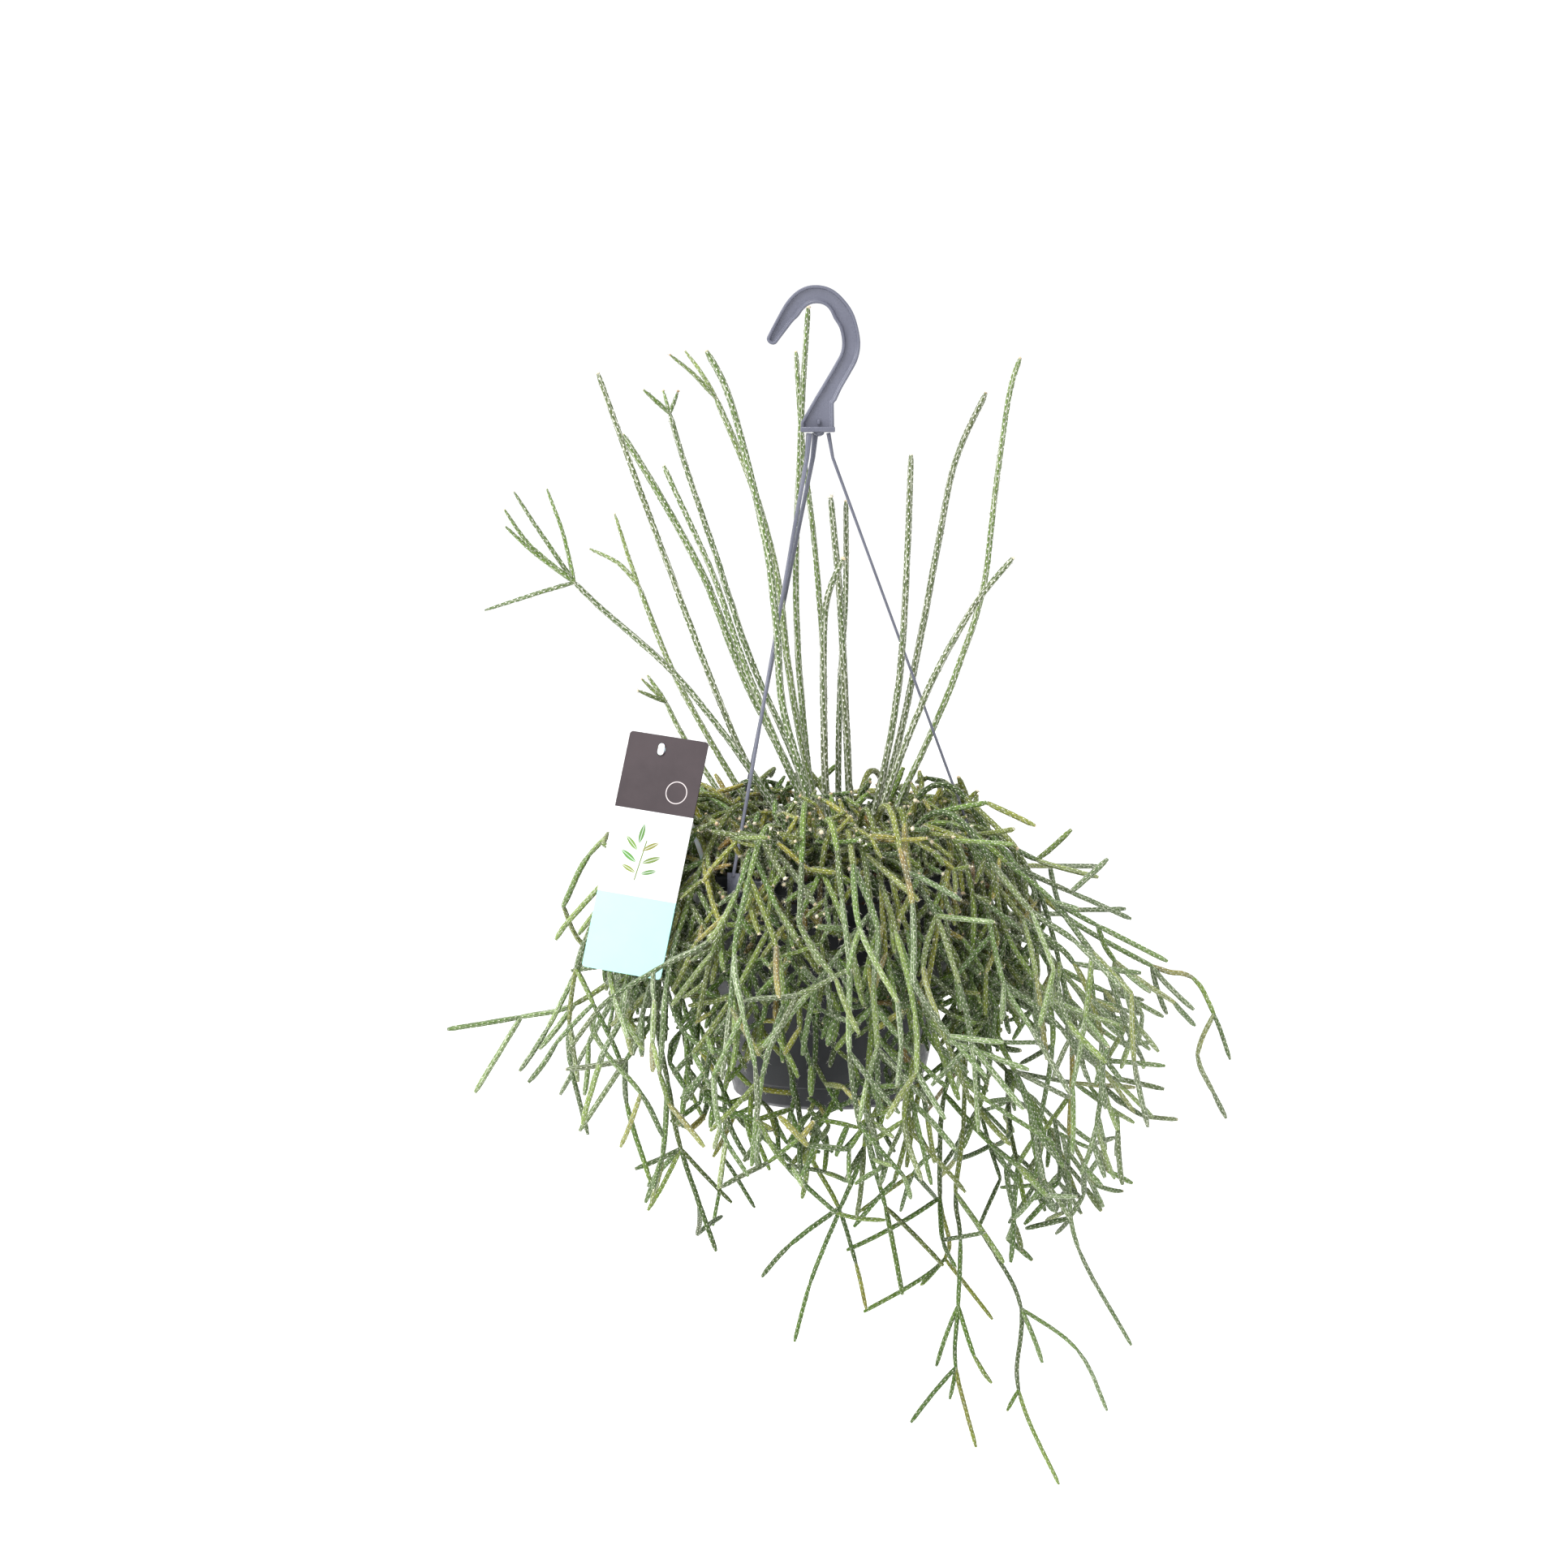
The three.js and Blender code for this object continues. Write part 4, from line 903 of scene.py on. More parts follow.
# True between two upright tubes round the pot, the outer one wider lower down
def isAround(zone, place):
    near, far = zone["out"]
    return near < outFrom(place) < far + zone["flare"] * (flareZ - place[2])


def inCrown(place):
    out = outFrom(place)
    turn = math.atan2(place[1], place[0] - pot["axisX"])
    top = crownZone["topZ"]
    for height, rate, phase in crownZone["waves"]:
        top += height * math.sin(rate * turn + phase)
    return out < crownZone["out"] and crownZone["lowZ"] < place[2] < top - crownZone["fall"] * out * out


def inDrape(place):
    return drapeZone["lowZ"] < place[2] < shoulderZ(place) and isAround(drapeZone, place)


def inMantle(place):
    lowest = mantleZone["lowZ"] + mantleZone["slope"] * max(0, place[0] - mantleZone["slopeX"])
    isHigh = lowest < place[2] < shoulderZ(place)
    return isHigh and isAround(mantleZone, place) and place[0] > mantleZone["leftX"]


def inSide(place):
    left, right = sideZone["left"], sideZone["right"]
    isLeft = isWithin(left["z"], place[2]) and isWithin(left["x"], place[0])
    isRight = isWithin(right["z"], place[2]) and isWithin(right["x"], place[0])
    return isLeft or (isRight and insideSkirt(place, skirtReach))


def inHem(place):
    return isWithin(hemZone["z"], place[2]) and place[0] > hemZone["leftX"] and insideSkirt(place, skirtReach)


def inFoot(place):
    isUnder = isWithin(footZone["z"], place[2]) and isWithin(footZone["x"], place[0])
    return isUnder and place[1] < footZone["backY"]


def isInBox(place):
    low, high = startBounds
    free = foliage["boxFree"]
    return all(low[n] / mm + free < place[n] < high[n] / mm - free for n in range(3))


# Short twigs too fine for the solids, each from a place on a stem or on a twig before it
def growTwigs(sectionsOf, random, zone, isInside, headingFrom):
    hosts = [(plant, section["line"][n]) for plant in trailers for section in sectionsOf[plant["name"]]
             for n in range(1, len(section["line"])) if isInside(section["line"][n])]
    grown = 0
    for _ in range(zone["twigs"]):
        plant, start = hosts[math.floor(random() * len(hosts))]
        tips = [(start, headingFrom(zone, start, random))]
        while tips:
            start, heading = tips.pop()
            end = plus(start, heading, between(zone["length"], random()))
            girth = between(foliage["twigGirth"], random())
            if not (isInside(end) and isInBox(end)
                    and isClear([start, end], plant["name"], foliage["twigFree"], girth, foliage["twigGap"])):
                continue
            markSolid([start, end], girth, plant["name"])
            sectionsOf[plant["name"]].append(newSection(bowed(start, end, random), random, girth, close=0.7))
            hosts.append((plant, end))
            grown += 1
            if random() < foliage["forks"]:
                around = 2 * math.pi * random()
                for n in range(2):
                    aside = atLeast(foliage["forkTurn"], random())
                    tips.append((end, turned(heading, aside, around + n * foliage["forkApart"])))
    return grown


def planFoliage():
    random = makeRandom(foliage["seed"])
    sectionsOf = {plant["name"]: uprightSections(plant, random) for plant in uprights}
    for plant in trailers:
        sections = trailingSections(plant, random)
        sectionsOf[plant["name"]] = sections if plant["main"] else thinOut(sections, random)
    counts = [growTwigs(sectionsOf, random, zone, isInside, heading) for zone, isInside, heading in (
        (drapeZone, inDrape, drapeHeading), (crownZone, inCrown, twigHeading),
        (mantleZone, inMantle, twigHeading), (sideZone, inSide, twigHeading),
        (hemZone, inHem, twigHeading), (footZone, inFoot, twigHeading))]
    print("twigs over the rim, in the crown, down the pot, at its sides, at the hem and under it:", counts)
    # An end that nothing grows from is a tip: rounder, and with wool where it is young
    for plant in uprights + trailers:
        starts = startSpots(sectionsOf[plant["name"]])
        for section in sectionsOf[plant["name"]]:
            end = section["line"][-1]
            if spotOf(end) not in starts:
                section["close"] = 0.6
                wool = atLeast(foliage["tipWool"], crownShare(end)) * atLeast(foliage["tipWool"], random())
                section["woolEnd"] = max(section["woolEnd"], wool)
    return sectionsOf


# The line of every section as loose edges, with its numbers on the points
def lineMesh(name, sections):
    places, edges = [], []
    values = {key: [] for key in keys}
    for section in sections:
        first = len(places)
        places += [times(place, mm) for place in section["line"]]
        edges += [(n, n + 1) for n in range(first, len(places) - 1)]
        for key in keys:
            scale = mm if key == "girth" else 1
            values[key] += [section[key] * scale] * len(section["line"])
    mesh = bpy.data.meshes.new(name)
    mesh.from_pydata(places, edges, [])
    for key in keys:
        mesh.attributes.new(key, "FLOAT", "POINT").data.foreach_set("value", values[key])
    return mesh


def newTree(name, sizes):
    tree = bpy.data.node_groups.new(name, "GeometryNodeTree")
    tree.interface.new_socket("Geometry", in_out="INPUT", socket_type="NodeSocketGeometry")
    for title, kind, value in sizes:
        socket = tree.interface.new_socket(title, in_out="INPUT", socket_type="NodeSocket" + kind)
        if value is not None:
            socket.default_value = value
    tree.interface.new_socket("Geometry", in_out="OUTPUT", socket_type="NodeSocketGeometry")
    return tree, tree.nodes.new("NodeGroupInput").outputs


def useTree(helper, tree, values):
    modifier = helper.modifiers.new("shape", "NODES")
    modifier.node_group = tree
    for item in tree.interface.items_tree:
        if item.item_type == "SOCKET" and item.in_out == "INPUT" and item.name in values:
            modifier[item.identifier] = values[item.name]


def readValue(tree, name):
    return made(tree, "GeometryNodeInputNamedAttribute", {"Name": name}, "Attribute", data_type="FLOAT")


def keepValue(tree, geometry, name, value, kind="FLOAT", domain="POINT"):
    inputs = {"Geometry": geometry, "Name": name, "Value": value}
    return made(tree, "GeometryNodeStoreNamedAttribute", inputs, "Geometry", data_type=kind, domain=domain)


def chance(tree, low, high, seed):
    return made(tree, "FunctionNodeRandomValue", {2: low, 3: high, "Seed": seed}, 1, data_type="FLOAT")


def finishTree(tree, pieces, skin, extra):
    join = tree.nodes.new("GeometryNodeJoinGeometry")
    for piece in pieces:
        tree.links.new(piece, join.inputs["Geometry"])
    whole = made(tree, "GeometryNodeRealizeInstances", {"Geometry": join.outputs[0]}, "Geometry")
    whole = made(tree, "GeometryNodeSetMaterial", {"Geometry": whole, "Material": skin}, "Geometry")
    if extra:
        isExtra = calc(tree, "GREATER_THAN", readValue(tree, "woolly"), 0.1)
        inputs = {"Geometry": whole, "Selection": isExtra, "Material": extra}
        whole = made(tree, "GeometryNodeSetMaterial", inputs, "Geometry")
    tree.links.new(whole, tree.nodes.new("NodeGroupOutput").inputs["Geometry"])


# How a stem is shaped, in metres, beside the sizes its tree is given: the scales of its sway and lumps,
# the lengths over which its ends close, and its hairs' foot in radii, sizes and seeds
tube = {
    "swayScale": 45.0, "lumpScale": 160.0, "lumps": (0.92, 0.16), "neckLength": 0.006, "closeLength": 0.0045,
    "hairFoot": 0.9, "hairSize": (0.65, 1.3), "shortHair": 0.5, "keptSeed": 31, "leastWool": 0.05,
}


def turnedTo(tree, primary, secondary):
    inputs = {"Primary Axis": primary, "Secondary Axis": secondary}
    return made(tree, "FunctionNodeAxesToRotation", inputs, 0, primary_axis="Z", secondary_axis="X")


def setOnPoints(tree, **inputs):
    return made(tree, "GeometryNodeInstanceOnPoints", inputs, "Instances")


def instanceOf(tree, thing):
    return made(tree, "GeometryNodeObjectInfo", {"Object": thing, "As Instance": True}, "Geometry")


# The radius along a line: it swells from its neck, closes at its tip, tapers and is lumpy
def stemGirth(tree, place, spline, total):
    girth = calc(tree, "MULTIPLY", readValue(tree, "girth"),
                 ease(tree, spline["Length"], 0.0, tube["neckLength"], readValue(tree, "neck"), 1.0))
    left = calc(tree, "SUBTRACT", total, spline["Length"])
    closing = ease(tree, left, 0.0, tube["closeLength"], readValue(tree, "close"), 1.0)
    girth = calc(tree, "MULTIPLY", girth, closing)
    squared = calc(tree, "MULTIPLY", spline["Factor"], spline["Factor"])
    slimmer = calc(tree, "MULTIPLY", readValue(tree, "slim"), squared)
    girth = calc(tree, "MULTIPLY", girth, calc(tree, "SUBTRACT", 1.0, slimmer))
    least, extra = tube["lumps"]
    lumps = calc(tree, "MULTIPLY_ADD", noise(tree, place, tube["lumpScale"]).outputs["Fac"], extra, least)
    return calc(tree, "MULTIPLY", girth, lumps)


# Hairs set round the stem in a spiral
def stemHairs(tree, given, line, girthNow):
    inputs = {"Curve": line, "Length": given["Hair Spacing"]}
    dots = addNode(tree, "GeometryNodeCurveToPoints", inputs, mode="LENGTH").outputs
    count = made(tree, "GeometryNodeInputIndex", {}, 0)
    inputs = {"Vector": dots["Normal"], "Axis": dots["Tangent"],
              "Angle": calc(tree, "MULTIPLY", count, given["Hair Turn"])}
    outward = made(tree, "ShaderNodeVectorRotate", inputs, 0, rotation_type="AXIS_ANGLE")
    rise = scaled(tree, outward, calc(tree, "MULTIPLY", girthNow, tube["hairFoot"]))
    points = made(tree, "GeometryNodeSetPosition", {"Geometry": dots["Points"], "Offset": rise}, 0)
    facing = turnedTo(tree, outward, dots["Tangent"])
    fuzz = readValue(tree, "fuzz")
    size = calc(tree, "MULTIPLY", ease(tree, fuzz, 0.0, 1.0, tube["shortHair"], 1.0),
                chance(tree, *tube["hairSize"], given["Seed"]))
    kept = calc(tree, "LESS_THAN", chance(tree, 0.0, 1.0, tube["keptSeed"]), fuzz)
    return setOnPoints(tree, Points=points, Selection=kept, Instance=instanceOf(tree, given["Hair"]),
                       Rotation=facing, Scale=size)


# A puff of wool at each end of the line that has any
def stemWool(tree, given, line):
    puff = instanceOf(tree, given["Joint Wool"])
    facing = turnedTo(tree, made(tree, "GeometryNodeInputTangent", {}, 0),
                      made(tree, "GeometryNodeInputNormal", {}, 0))
    inputs = {"Axis": (0, 0, 1), "Angle": chance(tree, 0.0, 2 * math.pi, given["Seed"])}
    spin = made(tree, "FunctionNodeAxisAngleToRotation", inputs, 0)
    facing = made(tree, "FunctionNodeRotateRotation", {"Rotation": facing, "Rotate By": spin}, 0,
                  rotation_space="LOCAL")
    puffs = []
    for key, first, last in (("woolStart", 1, 0), ("woolEnd", 0, 1)):
        isEnd = made(tree, "GeometryNodeCurveEndpointSelection", {"Start Size": first, "End Size": last}, 0)
        amount = readValue(tree, key)
        wanted = calc(tree, "MULTIPLY", isEnd, calc(tree, "GREATER_THAN", amount, tube["leastWool"]))
        size = calc(tree, "MULTIPLY", readValue(tree, "girth"), amount)
        puffs.append(setOnPoints(tree, Points=line, Selection=wanted, Instance=puff, Rotation=facing,
                                 Scale=size))
    return puffs


# Every section as a tapered tube with hairs and wool
def stemTree(skin, wool):
    tree, given = newTree("stemTree", [
        ("Step", "Float", 0.0035), ("Sides", "Int", 6), ("Wander", "Float", 0.0005),
        ("Hair Spacing", "Float", 0.0016), ("Hair Turn", "Float", 2.4), ("Hair", "Object", None),
        ("Joint Wool", "Object", None), ("Seed", "Int", 5)])
    line = made(tree, "GeometryNodeMeshToCurve", {"Mesh": given["Geometry"]}, "Curve")
    line = made(tree, "GeometryNodeCurveSplineType", {"Curve": line}, "Curve", spline_type="CATMULL_ROM")
    inputs = {"Curve": line, "Length": given["Step"]}
    line = made(tree, "GeometryNodeResampleCurve", inputs, "Curve", mode="LENGTH")
    spline = tree.nodes.new("GeometryNodeSplineParameter").outputs
    total = made(tree, "GeometryNodeSplineLength", {}, "Length")
    place = made(tree, "GeometryNodeInputPosition", {}, 0)
    waves = noise(tree, place, tube["swayScale"]).outputs["Color"]
    sway = vectorCalc(tree, "SUBTRACT", waves, (0.5, 0.5, 0.5))
    fade = calc(tree, "SINE", calc(tree, "MULTIPLY", spline["Factor"], math.pi))
    sway = scaled(tree, sway, calc(tree, "MULTIPLY", fade, calc(tree, "MULTIPLY", given["Wander"], 2)))
    line = made(tree, "GeometryNodeSetPosition", {"Geometry": line, "Offset": sway}, "Geometry")
    line = keepValue(tree, line, "girthNow", stemGirth(tree, place, spline, total))
    line = keepValue(tree, line, "along", calc(tree, "MULTIPLY", spline["Length"], 1000))
    inputs = {"Resolution": given["Sides"], "Radius": 1.0}
    ring = made(tree, "GeometryNodeCurvePrimitiveCircle", inputs, "Curve", mode="RADIUS")
    around = made(tree, "GeometryNodeInputPosition", {}, 0)
    ring = keepValue(tree, ring, "side", around, "FLOAT_VECTOR")
    girthNow = readValue(tree, "girthNow")
    inputs = {"Curve": line, "Profile Curve": ring, "Scale": girthNow, "Fill Caps": True}
    skinned = made(tree, "GeometryNodeCurveToMesh", inputs, "Mesh")
    skinned = made(tree, "GeometryNodeSetShadeSmooth", {"Geometry": skinned}, "Geometry")
    pieces = [skinned, stemHairs(tree, given, line, girthNow)] + stemWool(tree, given, line)
    finishTree(tree, pieces, skin, wool)
    return tree


# A thin closed spike from one place to another
def addSpike(body, foot, point, radius):
    heading = unit(apart(point, foot))
    side = unit(cross(heading, (0.3, 0.9, 0.2)))
    other = cross(heading, side)
    corners = []
    for n in range(3):
        angle = 2 * math.pi * n / 3
        place = plus(plus(foot, side, radius * math.cos(angle)), other, radius * math.sin(angle))
        corners.append(body.verts.new(place))
    tip = body.verts.new(point)
    body.faces.new(corners[::-1])
    for n in range(3):
        body.faces.new((corners[n], corners[(n + 1) % 3], tip))


def markWool(mesh, amount):
    for polygon in mesh.polygons:
        polygon.use_smooth = True
    mesh.attributes.new("woolly", "FLOAT", "POINT").data.foreach_set("value", [amount] * len(mesh.vertices))
    return mesh


# Two bristles from one point: Z away from the stem, X towards its tip
bristle = {"lengths": (2.9, 2.1), "lifts": (26, 48), "turns": (-16, 27), "radius": 0.12, "woolly": 0.3}
# A lump of wool with short hairs, in radii of the stem: Z along the stem
tuft = {
    "seed": 3, "radius": 0.86, "uneven": (0.85, 0.3), "flat": 0.62, "hairs": 4, "turn": 2.4,
    "lift": (-0.3, 1.3), "foot": 0.5, "reach": (1.5, 0.5), "hairRadius": 0.07, "woolly": 1.0,
}


def buildHair(body):
    for reach, lift, turn in zip(bristle["lengths"], bristle["lifts"], bristle["turns"]):
        lift, turn = math.radians(lift), math.radians(turn)
        heading = (math.cos(lift) * math.cos(turn), math.cos(lift) * math.sin(turn), math.sin(lift))
        addSpike(body, (0, 0, 0), times(heading, reach * mm), bristle["radius"] * mm)


def buildPuff(body):
    random = makeRandom(tuft["seed"])
    lump = bmesh.ops.create_icosphere(body, subdivisions=1, radius=tuft["radius"])
    for vertex in lump["verts"]:
        vertex.co *= atLeast(tuft["uneven"], random())
        vertex.co.z *= tuft["flat"]
    for n in range(tuft["hairs"]):
        angle = tuft["turn"] * n
        heading = unit((math.cos(angle), math.sin(angle), atLeast(tuft["lift"], random())))
        point = times(heading, atLeast(tuft["reach"], random()))
        addSpike(body, times(heading, tuft["foot"]), point, tuft["hairRadius"])


# How the skin is laid out: the twist of its ribs and the shift of their rows, the edges of dots,
# bristles, streaks and furrows, the edge and strength of the painted shade in the furrows, the scales
# of its noises, and the bump's strength and height
pattern = {
    "twist": 0.012, "rowShift": 0.37, "tintShift": 7.0, "dotEdge": (0.7, 1.3), "fleck": (0.05, 0.4, 0.35),
    "laidEdge": (0.03, 0.09), "laidEnd": (0.4, 0.5), "laidStart": (0.0, 0.03),
    "dashTurn": 2.4, "dashAlong": 0.22, "dashTint": 90.0, "dashScale": 1.7, "dashReach": 1.1,
    "streakEdge": (0.82, 1.0), "breakScale": 240.0, "breakEdge": (0.36, 0.56, 0.25), "patchScale": 38.0,
    "warmEdge": (0.15, 0.9), "shadeScale": 420.0, "shadeEdge": (0.35, 0.75, 0.0, 0.45),
    "furrowShadeEdge": (0.2, 0.36), "furrowShadeStrength": 0.35, "furrowEdge": (0.2, 0.5), "furrowDeep": -0.8,
    "dotHigh": 0.7, "shadeHigh": 0.3, "bump": (0.8, 0.0004),
}


# A rib's rows of dots: how far across and down from the nearest dot a place on the skin is, and the
# dot's own random number
def dotGrid(tree, look, turn, along, tint):
    rib = calc(tree, "FLOOR", turn)
    across = calc(tree, "SUBTRACT", calc(tree, "SUBTRACT", turn, rib), 0.5)
    row = calc(tree, "ADD", calc(tree, "DIVIDE", along, look["pitch"]),
               calc(tree, "MULTIPLY", rib, pattern["rowShift"]))
    row = calc(tree, "ADD", row, calc(tree, "MULTIPLY", tint, pattern["tintShift"]))
    number = calc(tree, "FLOOR", row)
    down = calc(tree, "SUBTRACT", calc(tree, "SUBTRACT", row, number), 0.5)
    zigzag = calc(tree, "MULTIPLY_ADD", calc(tree, "FLOORED_MODULO", number, 2.0), 2 * look["zigzag"],
                  -look["zigzag"])
    cell = made(tree, "ShaderNodeCombineXYZ", {"X": rib, "Y": number, "Z": tint}, 0)
    fleck = made(tree, "ShaderNodeTexWhiteNoise", {"Vector": cell}, "Value", noise_dimensions="3D")
    return across, calc(tree, "SUBTRACT", across, zigzag), down, fleck


# The pale dots, and the short bristle that lies along the skin ahead of every dot
def dotsAndBristles(tree, look, offset, down, fleck):
    wide = calc(tree, "MULTIPLY", offset, 1 / look["dot"][0])
    high = calc(tree, "MULTIPLY", down, look["pitch"] / look["dot"][1])
    wide, high = calc(tree, "MULTIPLY", wide, wide), calc(tree, "MULTIPLY", high, high)
    spread = calc(tree, "SQRT", calc(tree, "ADD", wide, high))
    dot = calc(tree, "MULTIPLY", ease(tree, spread, *pattern["dotEdge"], 1.0, 0.0),
               ease(tree, fleck, *pattern["fleck"], 1.0))
    aside = calc(tree, "MULTIPLY_ADD", down, calc(tree, "SUBTRACT", fleck, 0.5), offset)
    laid = ease(tree, calc(tree, "ABSOLUTE", aside), *pattern["laidEdge"], 1.0, 0.0)
    laid = calc(tree, "MULTIPLY", laid, ease(tree, down, *pattern["laidEnd"], 1.0, 0.0))
    return dot, calc(tree, "MULTIPLY", laid, ease(tree, down, *pattern["laidStart"]))


# Broken silvery streaks in the furrows, fuller where frost is high: real hairs, with painted glare on the
# outer stems
def furrowStreaks(tree, look, parts, along, tint, frost, furrow, place):
    straight = made(tree, "ShaderNodeCombineXYZ", {
        "X": calc(tree, "MULTIPLY", parts["X"], pattern["dashTurn"]),
        "Y": calc(tree, "MULTIPLY", parts["Y"], pattern["dashTurn"]),
        "Z": calc(tree, "ADD", calc(tree, "MULTIPLY", along, pattern["dashAlong"]),
                  calc(tree, "MULTIPLY", tint, pattern["dashTint"]))}, 0)
    dashes = noise(tree, straight, pattern["dashScale"], 4.0, 0.75).outputs["Fac"]
    broken = noise(tree, place, pattern["breakScale"], 3.0, 0.7).outputs["Fac"]
    streak = calc(tree, "MULTIPLY_ADD", dashes, pattern["dashReach"], furrow)
    streak = ease(tree, streak, *pattern["streakEdge"])
    streak = calc(tree, "MULTIPLY", streak, ease(tree, broken, *pattern["breakEdge"], 1.0))
    return calc(tree, "MULTIPLY", streak, ease(tree, frost, 0.0, 1.0, look["streak"], 1.0))


# Green skin: ribs that each carry a zigzag row of pale dots, with silvery streaks and painted shade in the
# furrows between
def stemSkin(name, look):
    material, tree, shader = newMaterial(name, Sheen_Weight=look["sheen"], Sheen_Roughness=0.4,
                                         Specular_IOR_Level=0.25)
    along, tint, frost = (named(tree, value) for value in ("along", "tint", "frost"))
    parts = addNode(tree, "ShaderNodeSeparateXYZ", {"Vector": named(tree, "side", "Vector")}).outputs
    turn = calc(tree, "MULTIPLY", calc(tree, "ARCTAN2", parts["Y"], parts["X"]), look["ribs"] / (2 * math.pi))
    turn = calc(tree, "ADD", turn, calc(tree, "MULTIPLY", along, pattern["twist"]))
    across, offset, down, fleck = dotGrid(tree, look, turn, along, tint)
    dot, laid = dotsAndBristles(tree, look, offset, down, fleck)
    furrow = calc(tree, "ABSOLUTE", across)
    place = surfacePlace(tree)
    streak = furrowStreaks(tree, look, parts, along, tint, frost, furrow, place)
    patches = noise(tree, place, pattern["patchScale"], 3.0).outputs["Fac"]
    hue = calc(tree, "ADD", calc(tree, "MULTIPLY", tint, 0.7), calc(tree, "MULTIPLY", patches, 0.5))
    green = ramp(tree, calc(tree, "SUBTRACT", hue, 0.1), look["greens"])
    olive = ramp(tree, hue, look["olives"])
    color = mixed(tree, ease(tree, named(tree, "warm"), *pattern["warmEdge"]), green, olive)
    shade = noise(tree, place, pattern["shadeScale"], 2.0).outputs["Fac"]
    # painted shade: the skin darkens towards the furrows between the ribs, as if they lay in shadow
    furrowShade = calc(tree, "MULTIPLY", ease(tree, furrow, *pattern["furrowShadeEdge"]), pattern["furrowShadeStrength"])
    for amount, coat in (
            (ease(tree, shade, *pattern["shadeEdge"]), "deep"), (furrowShade, "deep"),
            # painted glare: frost washes the outer stems towards silver
            (calc(tree, "MULTIPLY", frost, look["outerGlare"]), "silver"), (streak, "silver"),
            (calc(tree, "MULTIPLY", laid, look["laid"]), "bristleColor"), (dot, "dotColor")):
        color = mixed(tree, amount, color, look[coat])
    tree.links.new(color, shader.inputs["Base Color"])
    rough = calc(tree, "MULTIPLY_ADD", streak, 0.25, look["roughness"])
    tree.links.new(calc(tree, "MINIMUM", rough, 1.0), shader.inputs["Roughness"])
    height = calc(tree, "MULTIPLY", ease(tree, furrow, *pattern["furrowEdge"]), pattern["furrowDeep"])
    height = calc(tree, "ADD", height, calc(tree, "MULTIPLY", dot, pattern["dotHigh"]))
    height = calc(tree, "ADD", height, calc(tree, "MULTIPLY", shade, pattern["shadeHigh"]))
    bump(tree, shader, height, *pattern["bump"])
    return material


def woolMaterial():
    material, tree, shader = newMaterial("paleWool", Roughness=0.85, Sheen_Weight=0.4, Sheen_Roughness=0.5)
    place = surfacePlace(tree)
    patches = noise(tree, place, 130.0, 2.0).outputs["Fac"]
    browns = [(0.3, paint(150, 118, 82)), (0.48, paint(206, 188, 152)), (0.7, paint(236, 230, 210))]
    lumps = ramp(tree, patches, browns)
    hairs = ramp(tree, patches, [(0.3, paint(196, 196, 176)), (0.7, paint(240, 240, 228))])
    isLump = ease(tree, named(tree, "woolly"), 0.5, 0.9)
    tree.links.new(mixed(tree, isLump, hairs, lumps), shader.inputs["Base Color"])
    bump(tree, shader, noise(tree, place, 2600.0, 2.0).outputs["Fac"], 0.6, 0.0002)
    return material


youngLook = {
    "roughness": 0.5, "sheen": 0.14, "ribs": 5, "pitch": 3.7, "dot": (0.15, 0.58), "zigzag": 0.12,
    "streak": 0.5, "laid": 0.3, "outerGlare": 0.04,
    "greens": [(0.0, paint(86, 92, 48)), (0.35, paint(70, 96, 34)), (0.65, paint(92, 120, 44)),
               (1.0, paint(120, 138, 70))],
    "olives": [(0.0, paint(88, 122, 34)), (0.6, paint(112, 148, 40)), (1.0, paint(142, 164, 64))],
    "deep": paint(40, 54, 20), "silver": paint(206, 208, 192), "dotColor": paint(252, 253, 242),
    "bristleColor": paint(214, 216, 198),
}
trailingLook = {
    "roughness": 0.5, "sheen": 0.1, "ribs": 6, "pitch": 3.3, "dot": (0.14, 0.42), "zigzag": 0.1,
    "streak": 0.24, "laid": 0.45, "outerGlare": 0.16,
    "greens": [(0.0, paint(78, 84, 36)), (0.2, paint(56, 80, 18)), (0.45, paint(66, 100, 18)),
               (0.7, paint(90, 126, 24)), (0.88, paint(128, 152, 48)), (1.0, paint(152, 164, 84))],
    "olives": [(0.0, paint(58, 68, 20)), (0.3, paint(92, 106, 24)), (0.6, paint(138, 144, 34)),
               (0.82, paint(166, 156, 48)), (0.93, paint(146, 98, 48)), (1.0, paint(94, 58, 42))],
    "deep": paint(18, 32, 8), "silver": paint(190, 198, 172), "dotColor": paint(248, 250, 232),
    "bristleColor": paint(206, 210, 182),
}


def makeStems():
    sectionsOf = planFoliage()
    wool = woolMaterial()
    hair = helperObject("hair", markWool(meshFrom("hair", buildHair), bristle["woolly"]))
    puff = helperObject("jointWool", markWool(meshFrom("jointWool", buildPuff), tuft["woolly"]))
    total = 0
    for plants, look, kind in ((uprights, youngLook, "young"), (trailers, trailingLook, "trailing")):
        skin = stemSkin(kind + "Skin", look)
        tree = stemTree(skin, wool)
        for plant in plants:
            helper = helperObject(plant["name"] + "Line", lineMesh(plant["name"], sectionsOf[plant["name"]]))
            useTree(helper, tree, {"Hair": hair, "Joint Wool": puff, "Seed": 5})
            mesh = settled(helper)
            for key in ("girth", "neck", "close", "slim", "fuzz", "woolStart", "woolEnd", "girthNow"):
                if key in mesh.attributes:
                    mesh.attributes.remove(mesh.attributes[key])
            clipToBox(mesh)
            setPiece(plant["name"] + "Look", mesh, [], [plant["name"]])
            total += triangles(mesh)
    bpy.data.objects.remove(hair)
    bpy.data.objects.remove(puff)
    print("stems:", total, "triangles")


def triangles(mesh):
    return sum(len(polygon.vertices) - 2 for polygon in mesh.polygons)


# Hairs at the very edge are pressed back inside the object's own box, this far from its faces
edgeFree = 0.0002


def clipToBox(mesh):
    low, high = startBounds
    for vertex in mesh.vertices:
        place = vertex.co
        for axis in range(3):
            place[axis] = min(max(place[axis], low[axis] + edgeFree), high[axis] - edgeFree)


makeStems()


